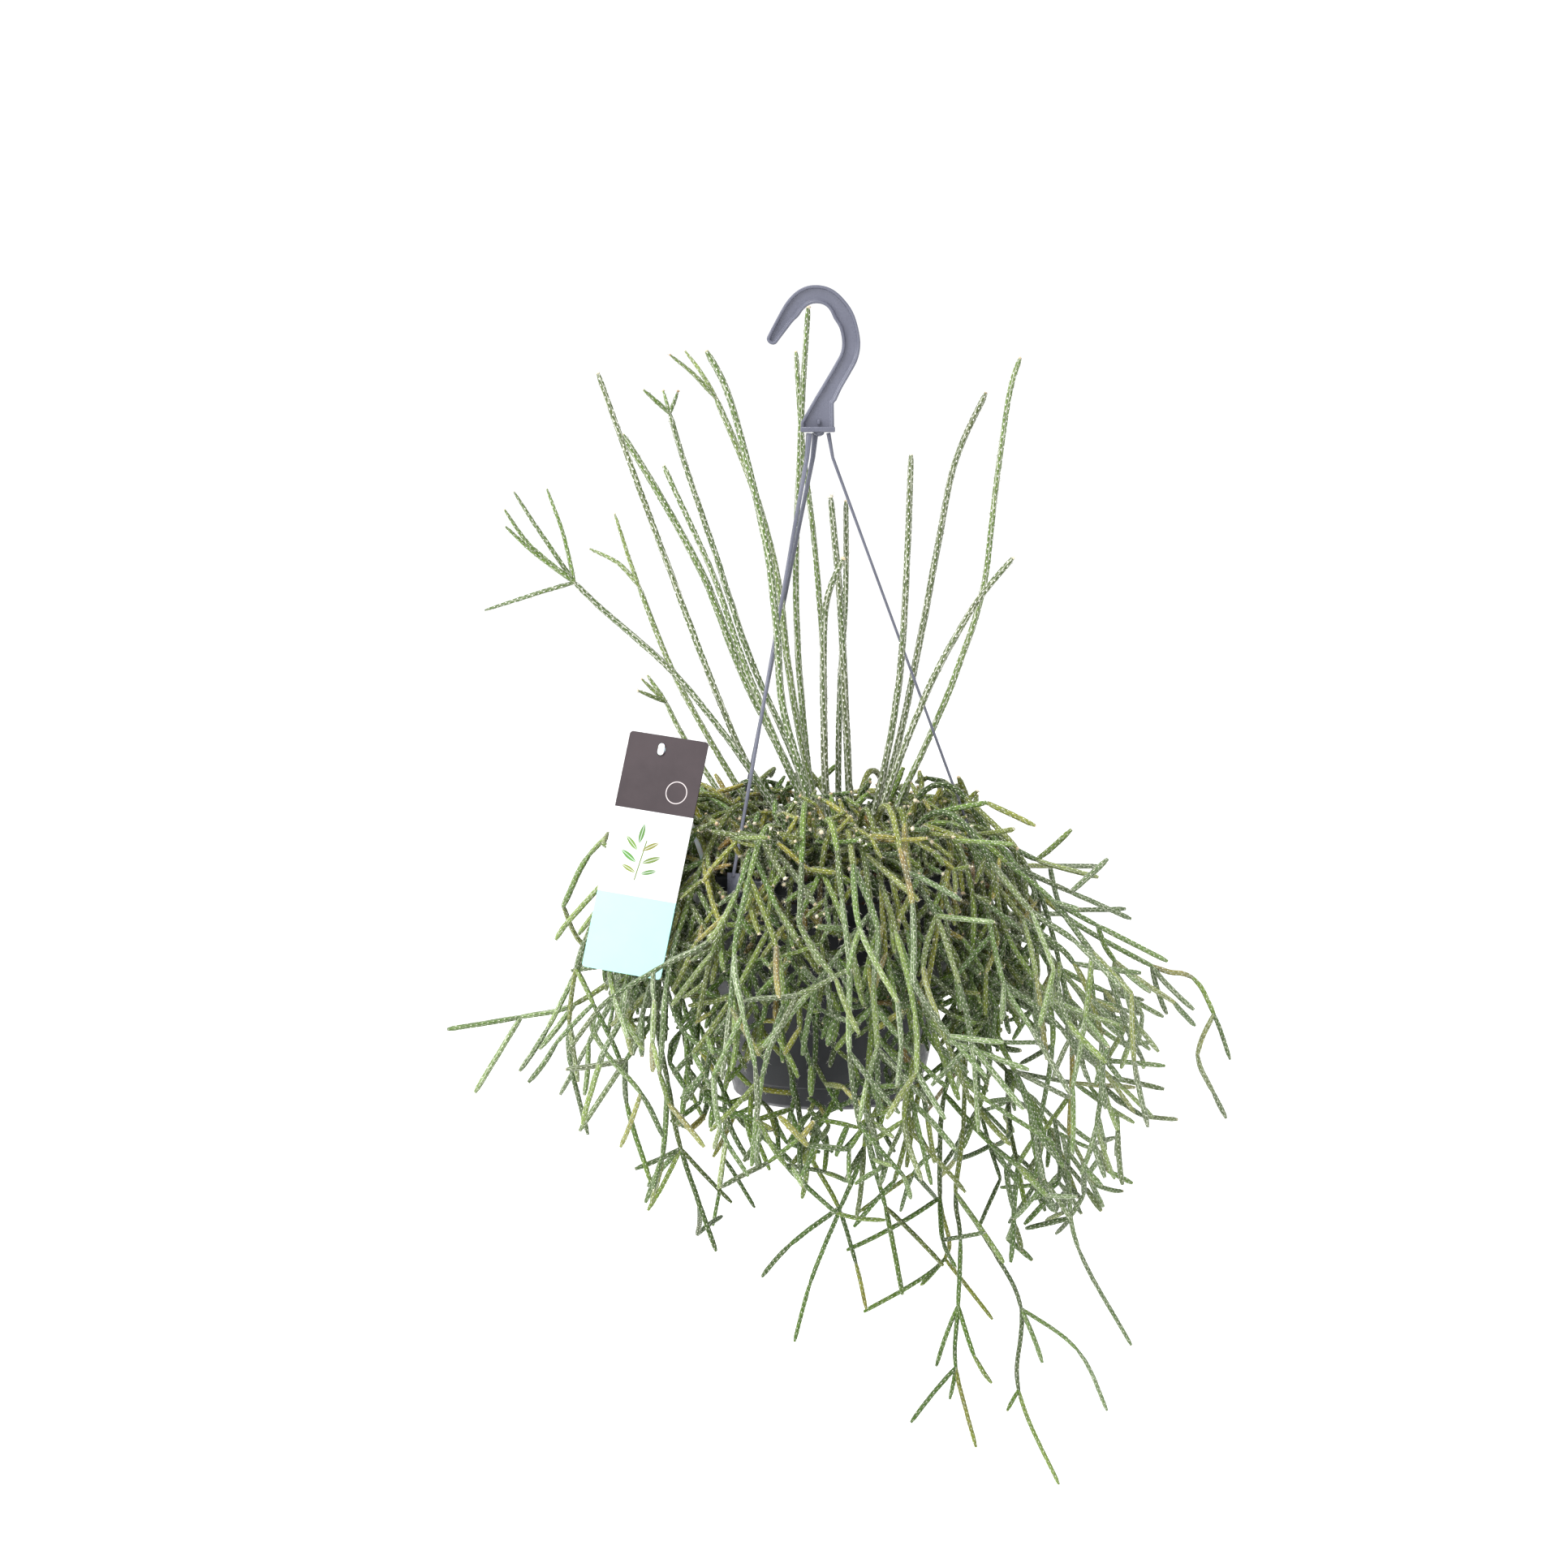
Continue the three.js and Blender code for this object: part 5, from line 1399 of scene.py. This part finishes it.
# A body turned from a profile of radius and height, in mm, about the pot's axis
def turnedMesh(name, profile, segments):
    def build(body):
        rings = []
        for radius, z in profile:
            if radius < 0.001:
                rings.append([body.verts.new((pot["axisX"] * mm, 0, z * mm))])
                continue
            ring = []
            for n in range(segments):
                place = aroundPot(radius, 2 * math.pi * n / segments, z)
                ring.append(body.verts.new(times(place, mm)))
            rings.append(ring)
        for low, high in zip(rings, rings[1:]):
            for n in range(segments):
                m = (n + 1) % segments
                corners = [low[n % len(low)], low[m % len(low)], high[m % len(high)], high[n % len(high)]]
                distinct = list(dict.fromkeys(corners))
                if len(distinct) > 2:
                    body.faces.new(distinct)
    return meshFrom(name, build)


# Rounds the inner corners of a profile
def roundedProfile(profile, radius, parts=3):
    result = [profile[0]]
    for before, corner, after in zip(profile, profile[1:], profile[2:]):
        lead = math.dist(before, corner)
        trail = math.dist(corner, after)
        cut = min(radius, 0.4 * lead, 0.4 * trail)
        start = [c + (b - c) * cut / lead for b, c in zip(before, corner)]
        end = [c + (a - c) * cut / trail for a, c in zip(after, corner)]
        for k in range(parts + 1):
            t = k / parts
            result.append(tuple(s * (1 - t) ** 2 + 2 * c * t * (1 - t) + e * t * t
                                for s, c, e in zip(start, corner, end)))
    return result + [profile[-1]]


# Moulded plastic: even colour with faint clouding, fine grain and a few scuffs
def plasticMaterial(name, color, dark, roughness, grain=0.12):
    material, tree, shader = newMaterial(name, Specular_IOR_Level=0.45)
    place = surfacePlace(tree)
    cloud = noise(tree, place, 24.0, 4.0, 0.6).outputs["Fac"]
    tree.links.new(mixed(tree, ease(tree, cloud, 0.3, 0.75), color, dark), shader.inputs["Base Color"])
    scuff = noise(tree, place, 190.0, 5.0, 0.7).outputs["Fac"]
    rough = ease(tree, scuff, 0.35, 0.7, roughness - 0.06, roughness + 0.14)
    tree.links.new(rough, shader.inputs["Roughness"])
    bump(tree, shader, noise(tree, place, 2400.0, 2.0).outputs["Fac"], grain, 0.0001)
    return material


def makePot():
    edge, lip, wall = 1, pot["lipRadius"], pot["wall"]
    foot, base, top = pot["footRadius"], pot["wallBase"], pot["wallTop"]
    baseTop = potBaseZ + pot["footHeight"]
    bandZ = potBaseZ + pot["bandHeight"]
    lipBase, underLip = pot["rimZ"] - pot["lipDepth"], pot["rimZ"] - pot["lipThick"]
    profile = [
        (0, baseTop), (foot - pot["footWidth"], baseTop), (foot - pot["footWidth"] + edge, potBaseZ),
        (foot, potBaseZ), (base - pot["chamfer"], baseTop),
        (base - pot["bandInset"], bandZ - pot["bandStep"]), (base, bandZ),
        (top - pot["bandStep"], underLip), (lip - pot["lipSkirt"] - 0.3, underLip),
        (lip - pot["lipSkirt"], lipBase), (lip - 0.2, lipBase), (lip, pot["rimZ"] - edge),
        (lip - edge, pot["rimZ"]), (top - wall + edge / 2, pot["rimZ"]), (top - wall, pot["rimZ"] - edge),
        (base - wall, bandZ), (base - wall - pot["floor"], baseTop + pot["floor"]),
        (0, baseTop + pot["floor"]),
    ]
    helper = helperObject("potBody", turnedMesh("potBody", roundedProfile(profile, 0.7), pot["segments"]))

    def buildDrill(body):
        radius = pot["drainRadius"] * mm
        for n in range(pot["drainHoles"]):
            place = aroundPot(pot["drainCircle"], 2 * math.pi * (n + 0.5) / pot["drainHoles"], potBaseZ)
            bmesh.ops.create_cone(body, cap_ends=True, segments=32, radius1=radius, radius2=radius,
                                  depth=12 * mm, matrix=Matrix.Translation(times(place, mm)))
    drill = helperObject("drainDrill", meshFrom("drainDrill", buildDrill))
    cut = helper.modifiers.new("drains", "BOOLEAN")
    cut.operation = "DIFFERENCE"
    cut.object = drill
    mesh = smoothShade(settled(helper))
    bpy.data.objects.remove(drill)
    plastic = plasticMaterial("potPlastic", paint(32, 34, 41), paint(25, 27, 33), 0.4)
    setPiece("potLook", mesh, [plastic], ["pot"])
    print("pot:", triangles(mesh), "triangles")


mix = {
    "radius": 80.4, "rings": 34, "around": 96, "lump": 1.3, "density": 52000, "grain": (0.0007, 0.0021),
    "free": 0.4, "seed": 8, "waves": 9, "waveRate": (0.06, 0.22), "heap": 4, "heapPower": 0.6,
}


# Crumbs of bark and peat with a few white grains, strewn over the upper side of the mix
def crumbTree(skin):
    tree, given = newTree("crumbTree", [
        ("Density", "Float", 40000.0), ("Smallest", "Float", 0.0008), ("Largest", "Float", 0.002),
        ("Seed", "Int", 3)])
    up = made(tree, "GeometryNodeInputNormal", {}, 0)
    rise = made(tree, "ShaderNodeSeparateXYZ", {"Vector": up}, "Z")
    inputs = {"Mesh": given["Geometry"], "Selection": calc(tree, "GREATER_THAN", rise, 0.6),
              "Density": given["Density"], "Seed": given["Seed"]}
    spots = made(tree, "GeometryNodeDistributePointsOnFaces", inputs, "Points")
    crumb = made(tree, "GeometryNodeMeshIcoSphere", {"Radius": 1.0, "Subdivisions": 1}, "Mesh")
    inputs = {0: (0, 0, 0), 1: (6.3, 6.3, 6.3), "Seed": given["Seed"]}
    turn = made(tree, "FunctionNodeRandomValue", inputs, 0, data_type="FLOAT_VECTOR")
    inputs = {"X": 1.0, "Y": chance(tree, 0.5, 1.0, 4), "Z": 0.45}
    flat = made(tree, "ShaderNodeCombineXYZ", inputs, 0)
    size = scaled(tree, flat, chance(tree, given["Smallest"], given["Largest"], 9))
    strewn = setOnPoints(tree, Points=spots, Instance=crumb, Rotation=turn, Scale=size)
    strewn = keepValue(tree, strewn, "tint", chance(tree, 0.0, 1.0, 12), domain="INSTANCE")
    finishTree(tree, [given["Geometry"], strewn], skin, None)
    return tree


def soilMaterial():
    material, tree, shader = newMaterial("pottingMix", Roughness=0.95, Specular_IOR_Level=0.2)
    place = surfacePlace(tree)
    tint = named(tree, "tint")
    base = ramp(tree, noise(tree, place, 300.0, 4.0, 0.7).outputs["Fac"],
                [(0.3, paint(34, 25, 19)), (0.55, paint(66, 47, 34)), (0.75, paint(98, 74, 52))])
    chips = ramp(tree, tint, [(0.05, paint(40, 28, 20)), (0.6, paint(92, 64, 42)), (0.9, paint(128, 98, 66)),
                              (0.96, paint(214, 210, 198))])
    color = mixed(tree, ease(tree, tint, 0.001, 0.01), base, chips)
    tree.links.new(color, shader.inputs["Base Color"])
    bump(tree, shader, noise(tree, place, 900.0, 4.0, 0.7).outputs["Fac"], 0.8, 0.0006)
    return material


def makeSoil():
    lowZ = potBaseZ + pot["footHeight"] + pot["floor"] + mix["free"]
    bandZ = potBaseZ + pot["bandHeight"]
    edgeZ = soil["topZ"] - 3
    inner = pot["wallBase"] - pot["wall"] - mix["free"]
    slope = (mix["radius"] - inner) / (soil["topZ"] - bandZ)
    random = makeRandom(mix["seed"])
    waves = [(atLeast(mix["waveRate"], random()), 6.3 * random(), 6.3 * random())
             for _ in range(mix["waves"])]
    profile = [(0, lowZ), (inner - 2, lowZ), (inner, bandZ), (inner + slope * (edgeZ - bandZ), edgeZ)]
    for n in range(mix["rings"] + 1):
        inward = n / mix["rings"]
        topZ = soil["topZ"] - 1 + mix["heap"] * inward ** mix["heapPower"]
        profile.append((mix["radius"] * (1 - inward), topZ))
    mesh = turnedMesh("soilBody", profile, mix["around"])
    for vertex in mesh.vertices:
        x, y, z = vertex.co / mm
        if z > soil["topZ"] - 2 and math.hypot(x - pot["axisX"], y) < mix["radius"] - 1:
            lift = sum(math.sin(rate * (x * math.cos(turn) + y * math.sin(turn)) + phase)
                       for rate, turn, phase in waves)
            vertex.co.z += mix["lump"] * lift / 5 * mm
    skin = soilMaterial()
    helper = helperObject("soilBody", smoothShade(mesh, 60))
    useTree(helper, crumbTree(skin), {"Density": float(mix["density"]), "Smallest": mix["grain"][0],
                                      "Largest": mix["grain"][1], "Seed": 3})
    result = settled(helper)
    setPiece("soilLook", result, [], ["soil"])
    print("soil:", triangles(result), "triangles")


# A closed rod from sections of equal corner count, given as lists of places in mm
def addRod(body, sections):
    rings = [[body.verts.new(times(place, mm)) for place in section] for section in sections]
    for low, high in zip(rings, rings[1:]):
        for n in range(len(low)):
            m = (n + 1) % len(low)
            body.faces.new((low[n], low[m], high[m], high[n]))
    body.faces.new(rings[0][::-1])
    body.faces.new(rings[-1])


def addBox(body, size, matrix):
    made = bmesh.ops.create_cube(body, size=1.0)
    bmesh.ops.scale(body, vec=size, verts=made["verts"])
    bmesh.ops.transform(body, matrix=matrix, verts=made["verts"])


# The hook's mould: how its flanges slope to the web, the small stub on its yoke and the nub under it
mould = {
    "flangeShare": 0.8, "slope": 0.35, "stub": (1.9, 2, 3), "stubPlace": (0.6, -1.5, 5.6),
    "nubRadius": 3.2, "nubPlace": (0.6, 0, -0.2), "nubFlat": 0.75, "rounding": 0.6, "noseParts": 12,
    "outlineStep": 1.2, "yokeFree": 0.8,
}


# The hook's outline: a band along its line with a round nose and two bumps that close the seat a
# little, running out into the yoke
def hookOutline(line):
    outer, inner = [], []
    for i, (x, z, width) in enumerate(line):
        before, after = line[max(0, i - 1)], line[min(len(line) - 1, i + 1)]
        along = (after[0] - before[0], after[1] - before[1])
        size = math.hypot(*along)
        half = width / 2
        place = (x + half * along[1] / size, z - half * along[0] / size)
        swell = sum(height * math.exp(-(math.dist(place, (bx, bz)) / reach) ** 2)
                    for bx, bz, height, reach in hook["bumps"])
        outer.append((x - half * along[1] / size, z + half * along[0] / size))
        inner.append((place[0] + swell * along[1] / size, place[1] - swell * along[0] / size))
    x, z, width = line[0]
    ahead, up, _ = unit((x - line[1][0], z - line[1][1], 0))
    nose = []
    for n in range(1, mould["noseParts"]):
        angle = math.pi * n / mould["noseParts"]
        reach = hook["nose"] * math.sin(angle)
        aside = width / 2 * math.cos(angle)
        nose.append((x + ahead * reach - up * aside, z + up * reach + ahead * aside))
    outer = [place for place in outer if place[1] > hook["yoke"][0][1] + mould["yokeFree"]]
    return inner[::-1] + nose + outer + hook["yoke"]


def makeHook():
    outline = hookOutline(smoothLine(hook["line"], mould["outlineStep"])[2:])
    right, left = hook["yoke"][1][0], hook["yoke"][2][0]
    middle = ((right + left) / 2, 0, hook["footZ"])

    def build(body):
        depth = hook["thickness"] * mm
        front = [body.verts.new((x * mm, -depth / 2, z * mm)) for x, z in outline]
        face = body.faces.new(front)
        swept = bmesh.ops.extrude_face_region(body, geom=[face])
        moved = [item for item in swept["geom"] if isinstance(item, bmesh.types.BMVert)]
        bmesh.ops.translate(body, verts=moved, vec=(0, depth, 0))
        back = next(item for item in swept["geom"] if isinstance(item, bmesh.types.BMFace))
        bmesh.ops.recalc_face_normals(body, faces=body.faces)
        recess = (hook["thickness"] - hook["web"]) / 2 * mm
        rims = ((hook["flange"] * mould["flangeShare"], 0.0), (mould["slope"], -recess))
        for cheek in (face, back):
            for thickness, sunk in rims:
                bmesh.ops.inset_region(body, faces=[cheek], thickness=thickness * mm, depth=sunk,
                                       use_even_offset=True)
        plate = times(plus(middle, (0, 0, hook["base"] / 2)), mm)
        width = right - left + 2 * hook["lip"]
        addBox(body, times((width, hook["depth"], hook["base"]), mm), Matrix.Translation(plate))
        stub = times(plus(middle, mould["stubPlace"]), mm)
        addBox(body, times(mould["stub"], mm), Matrix.Translation(stub))
        nub = Matrix.Translation(times(plus(middle, mould["nubPlace"]), mm))
        bmesh.ops.create_uvsphere(body, u_segments=20, v_segments=12, radius=mould["nubRadius"] * mm,
                                  matrix=nub @ Matrix.Diagonal((1, 1, mould["nubFlat"], 1)))
    mesh = softened("hookBody", meshFrom("hookBody", build), mould["rounding"] * mm, 3)
    hangerPlastic = plasticMaterial("hangerPlastic", paint(104, 106, 120), paint(88, 90, 104), 0.3, 0.08)
    setPiece("hangerHookLook", mesh, [hangerPlastic], ["hanger_hook"])
    print("hook:", triangles(mesh), "triangles")
    return hangerPlastic


# A clip over the rim: a plate outside the lip, a toe under it, turned about the pot's axis
def addClip(body, turn, size):
    width, height, thickness, toe = size
    inner = pot["lipRadius"] + 0.3
    toeTop = pot["rimZ"] - pot["lipDepth"] - 0.3
    spin = Matrix.Translation((pot["axisX"] * mm, 0, 0)) @ Matrix.Rotation(turn, 4, "Z")
    plate = Matrix.Translation(((inner + thickness / 2) * mm, 0, (toeTop - thickness + height / 2) * mm))
    addBox(body, (thickness * mm, width * mm, height * mm), spin @ plate)
    ledge = Matrix.Translation(((inner - toe / 2 + thickness / 4) * mm, 0, (toeTop - thickness / 2) * mm))
    addBox(body, ((toe + thickness / 2) * mm, width * mm, thickness * mm), spin @ ledge)


# Half width, half depth and height of the ridge along each arm, from the yoke to the rim, and the
# corners of its section in shares of the three
arm = {
    "top": (1.85, 1.1, 0.55), "bend": (1.45, 0.85, 0.4), "foot": (1.1, 0.75, 0.3), "step": 5,
    "bendDrop": 14, "footDrop": 60, "rounding": 0.2,
    "section": [(-1, -0.5, 0), (-0.8, -1, 0), (0.8, -1, 0), (1, -0.5, 0), (1, 0.4, 0), (0.55, 0.7, 0),
                (0.3, 0.7, 1), (-0.3, 0.7, 1), (-0.55, 0.7, 0), (-1, 0.4, 0)],
}


def makeStraps(plastic):
    for name, turn, top, bend in strap["arms"]:
        top, bend, foot = strapLine(turn, top, bend)
        path = smoothLine([top, bend], arm["step"])[:-1] + smoothLine([bend, foot], arm["step"])
        outward = (math.cos(math.radians(turn)), math.sin(math.radians(turn)), 0)

        def build(body):
            sections = []
            for i, place in enumerate(path):
                along = unit(apart(path[min(len(path) - 1, i + 1)], path[max(0, i - 1)]))
                across = unit(cross(along, outward))
                out = cross(across, along)
                drop = path[0][2] - place[2]
                near = min(1, drop / arm["bendDrop"])
                far = min(1, max(0, drop - arm["bendDrop"]) / arm["footDrop"])
                wide, deep, ridge = (a + (b - a) * near + (c - b) * far for a, b, c in
                                     zip(arm["top"], arm["bend"], arm["foot"]))
                corners = [(wide * x, deep * y + ridge * rise) for x, y, rise in arm["section"]]
                sections.append([plus(plus(place, across, x), out, y) for x, y in corners])
            addRod(body, sections)
            addClip(body, math.radians(turn), strap["clip"])
        mesh = softened(name + "Body", meshFrom(name + "Body", build), arm["rounding"] * mm, 2)
        setPiece(name + "Look", mesh, [plastic], [name])
    print("hanger arms:", len(strap["arms"]))


# The label's outline with round corners, and its hole
def labelShape():
    points = []
    radius = label["round"]
    for cx, cy, first in ((1, 1, 180), (0, 1, 270), (0, 0, 0), (1, 0, 90)):
        x = radius if cx else labelWidth - radius
        y = radius if cy else labelHeight - radius
        for n in range(7):
            angle = math.radians(first + 15 * n)
            points.append((x + radius * math.cos(angle), y + radius * math.sin(angle)))
    return points


def labelHole():
    points = []
    for n in range(40):
        angle = 2 * math.pi * n / 40
        points.append((label["holeAcross"] + label["holeRadius"] * math.cos(angle),
                       label["holeDown"] + label["holeRadius"] * math.sin(angle)))
    return points


# Card printed in three plain bands, with a plain ring on the dark one and a sprig of leaves on the white one
def labelMaterial():
    material, tree, shader = newMaterial("printedCard", Roughness=0.5, Specular_IOR_Level=0.2)
    flat = made(tree, "ShaderNodeUVMap", {}, "UV", uv_map="cardPlace")
    parts = addNode(tree, "ShaderNodeSeparateXYZ", {"Vector": flat}).outputs
    across, along = parts["X"], parts["Y"]
    place = surfacePlace(tree)
    cloud = noise(tree, place, 30.0, 4.0, 0.6).outputs["Fac"]
    dark = mixed(tree, ease(tree, cloud, 0.3, 0.7), paint(62, 53, 56), paint(52, 44, 47))
    white = mixed(tree, cloud, paint(234, 234, 236), paint(224, 227, 229))
    blue = mixed(tree, cloud, paint(168, 218, 214), paint(154, 210, 208))

    def measured(x, y, turn):
        dx, dy = calc(tree, "SUBTRACT", across, x), calc(tree, "SUBTRACT", along, y)
        c, s = math.cos(turn), math.sin(turn)
        return (calc(tree, "ADD", calc(tree, "MULTIPLY", dx, c), calc(tree, "MULTIPLY", dy, s)),
                calc(tree, "SUBTRACT", calc(tree, "MULTIPLY", dy, c), calc(tree, "MULTIPLY", dx, s)))

    def leaf(x, y, long, turn):
        u, v = measured(x, y, turn)
        v = calc(tree, "DIVIDE", v, long)
        belly = calc(tree, "SUBTRACT", 1.0, calc(tree, "MULTIPLY", v, v))
        belly = calc(tree, "MULTIPLY", belly, long * label["leafWidth"])
        inside = calc(tree, "SUBTRACT", belly, calc(tree, "ABSOLUTE", u))
        vein = ease(tree, calc(tree, "ABSOLUTE", u), 0.12, 0.3, 0.5, 1.0)
        return calc(tree, "MULTIPLY", ease(tree, inside, -0.05, 0.25), vein)
    color = mixed(tree, ease(tree, along, *label["whiteEdge"]), dark, white)
    color = mixed(tree, ease(tree, along, *label["blueEdge"]), color, blue)
    x, y = measured(*label["ring"], 0.0)
    reach = calc(tree, "SQRT", calc(tree, "ADD", calc(tree, "MULTIPLY", x, x), calc(tree, "MULTIPLY", y, y)))
    ringGap = calc(tree, "ABSOLUTE", calc(tree, "SUBTRACT", reach, label["ringRadius"]))
    color = mixed(tree, ease(tree, ringGap, 0.15, 0.4, 0.8, 0.0), color, paint(206, 198, 198))
    u, v = measured(*label["stalk"])
    stalk = calc(tree, "MULTIPLY", ease(tree, calc(tree, "ABSOLUTE", u), 0.3, 0.5, 1.0, 0.0),
                 ease(tree, calc(tree, "ABSOLUTE", v), *label["stalkEnd"], 1.0, 0.0))
    color = mixed(tree, stalk, color, paint(104, 120, 70))
    for n, (x, y, long, turn) in enumerate(label["leaves"]):
        color = mixed(tree, leaf(x, y, long, turn), color, paint(84 + 18 * (n % 3), 122 + 12 * (n % 2), 62))
    tree.links.new(color, shader.inputs["Base Color"])
    bump(tree, shader, noise(tree, place, 1500.0, 2.0).outputs["Fac"], 0.08, 0.0001)
    return material


# The card in mm across and down from its corner: its bands' edges, the ring, the stalk with its turn,
# and the place, half length and turn of each leaf
label.update({
    "round": 2.0, "whiteEdge": (43.6, 43.9), "blueEdge": (92.2, 92.6), "ring": (35, 31), "ringRadius": 6.2,
    "stalk": (22, 72, 0.12), "stalkEnd": (11.5, 12.0), "leafWidth": 0.26,
    "leaves": [(19.6, 57, 6.5, 0.1), (14.8, 63, 6, -0.85), (26.4, 63.5, 6, 1.0), (14.4, 70.5, 6.4, -1.05),
               (28.4, 71, 6.4, 1.15), (15.8, 77.5, 5.4, -1.2), (28.2, 78, 5.4, 1.25)],
})


def makeLabel():
    def build(body):
        loops = [labelShape(), labelHole()]
        for out in (0.0, label["thickness"]):
            edges = []
            for loop in loops:
                corners = [body.verts.new(times(onLabel(x, y, out), mm)) for x, y in loop]
                edges += [body.edges.new((corners[n - 1], corners[n])) for n in range(len(corners))]
            bmesh.ops.triangle_fill(body, use_beauty=True, edges=edges)
        body.verts.ensure_lookup_table()
        half = len(body.verts) // 2
        first = 0
        for loop in loops:
            count = len(loop)
            for n in range(count):
                a, b = first + n, first + (n + 1) % count
                body.faces.new([body.verts[k] for k in (a, b, b + half, a + half)])
            first += count
    mesh = meshFrom("labelBody", build)
    layer = mesh.uv_layers.new(name="cardPlace")
    for loop in mesh.loops:
        offset = apart(mesh.vertices[loop.vertex_index].co / mm, label["corner"])
        layer.data[loop.index].uv = (sum(a * b for a, b in zip(offset, labelAcross)),
                                     sum(a * b for a, b in zip(offset, labelDown)))
    setPiece("tagLook", smoothShade(mesh, 30), [labelMaterial()], ["tag"])
    print("label:", triangles(mesh), "triangles")


# The rivet through the label's hole: its heads' radius, thickness and stretch along the strip, its pin
# and the play under its heads
rivet = {"head": 1.9, "thick": 1, "stretch": 1.5, "pin": 2.1, "free": 0.3}


def makeStrip():
    path = smoothLine(stripLine(), 4)
    half, thin = strip["width"] / 2, strip["thickness"] / 2
    corners = ((-half, -thin), (half, -thin), (half, thin), (-half, thin))
    frameTurn = Matrix((labelAcross, labelDown, labelNormal)).transposed().to_4x4()
    middle = label["thickness"] / 2
    reach = middle + rivet["free"] + rivet["thick"] / 2

    def onHole(out):
        centre = onLabel(label["holeAcross"], label["holeDown"], out)
        return Matrix.Translation(times(centre, mm)) @ frameTurn

    def build(body):
        sections = [[plus(plus(place, labelAcross, x), labelNormal, y) for x, y in corners]
                    for place in path]
        addRod(body, sections)
        radius = rivet["head"] * mm
        for facing in (-1, 1):
            head = bmesh.ops.create_cone(body, cap_ends=True, segments=28, radius1=radius, radius2=radius,
                                         depth=rivet["thick"] * mm)
            for vertex in head["verts"]:
                vertex.co.y += math.copysign(rivet["stretch"] * mm, vertex.co.y)
            bmesh.ops.transform(body, matrix=onHole(middle + facing * reach), verts=head["verts"])
        radius = rivet["pin"] * mm
        bmesh.ops.create_cone(body, cap_ends=True, segments=24, radius1=radius, radius2=radius,
                              depth=2 * reach * mm, matrix=onHole(middle))
        addClip(body, math.radians(strip["rimTurn"]), strip["clip"])
    mesh = softened("stripBody", meshFrom("stripBody", build), 0.3 * mm, 2)
    clear, tree, shader = newMaterial("stripPlastic", Roughness=0.3, Subsurface_Weight=0.3,
                                      Subsurface_Scale=0.003)
    place = surfacePlace(tree)
    cloud = noise(tree, place, 60.0, 3.0).outputs["Fac"]
    color = mixed(tree, cloud, paint(244, 244, 248), paint(226, 228, 236))
    tree.links.new(color, shader.inputs["Base Color"])
    bump(tree, shader, noise(tree, place, 1800.0, 2.0).outputs["Fac"], 0.15, 0.0001)
    setPiece("tagStripLook", mesh, [clear], ["tag_strip"])
    print("label strip:", triangles(mesh), "triangles")


makePot()
makeSoil()
makeStraps(makeHook())
makeLabel()
makeStrip()


# Pale light from all round, weaker overhead, a broad soft light from above and a lamp at the front left
studio = {
    "sky": 1.08, "zenith": 0.55, "horizon": (0.12, 0.5), "floorZ": -0.86, "above": 3.1, "softness": 40,
    "abovePlace": (-0.5, -0.7, 1.6), "key": 34, "keySize": 0.9, "keyPlace": (-1.75, -1.15, 0.7),
    "aim": (0, 0, -0.3),
}


def makeStudio():
    world = bpy.data.worlds.new("studio")
    world.use_nodes = True
    tree = world.node_tree
    sky = tree.nodes["Background"]
    around = made(tree, "ShaderNodeTexCoord", {}, "Generated")
    height = made(tree, "ShaderNodeSeparateXYZ", {"Vector": around}, "Z")
    light = ease(tree, height, *studio["horizon"], studio["sky"], studio["zenith"])
    tree.links.new(light, sky.inputs["Strength"])
    sky.inputs["Color"].default_value = (1, 1, 1, 1)
    scene.world = world
    scene.view_settings.view_transform = "Standard"
    sun = bpy.data.lights.new("aboveLight", "SUN")
    sun.energy = studio["above"]
    sun.angle = math.radians(studio["softness"])
    key = bpy.data.lights.new("keyLamp", "AREA")
    key.energy = studio["key"]
    key.size = studio["keySize"]
    for lamp, place in ((sun, studio["abovePlace"]), (key, studio["keyPlace"])):
        lampObject = bpy.data.objects.new(lamp.name, lamp)
        lampObject.location = place
        aim = Vector(studio["aim"]) - Vector(place)
        lampObject.rotation_euler = aim.to_track_quat("-Z", "Y").to_euler()
        scene.collection.objects.link(lampObject)


def buildFloor(body):
    bmesh.ops.create_circle(body, cap_ends=True, segments=96, radius=6)


def makeFloor():
    material, _, shader = newMaterial("paleFloor", Roughness=0.9)
    shader.inputs["Base Color"].default_value = (0.95, 0.95, 0.95, 1)
    floor = helperObject("floor", meshFrom("floor", buildFloor))
    floor.location.z = studio["floorZ"]
    floor.data.materials.append(material)


makeStudio()
makeFloor()
print("studio: lit")
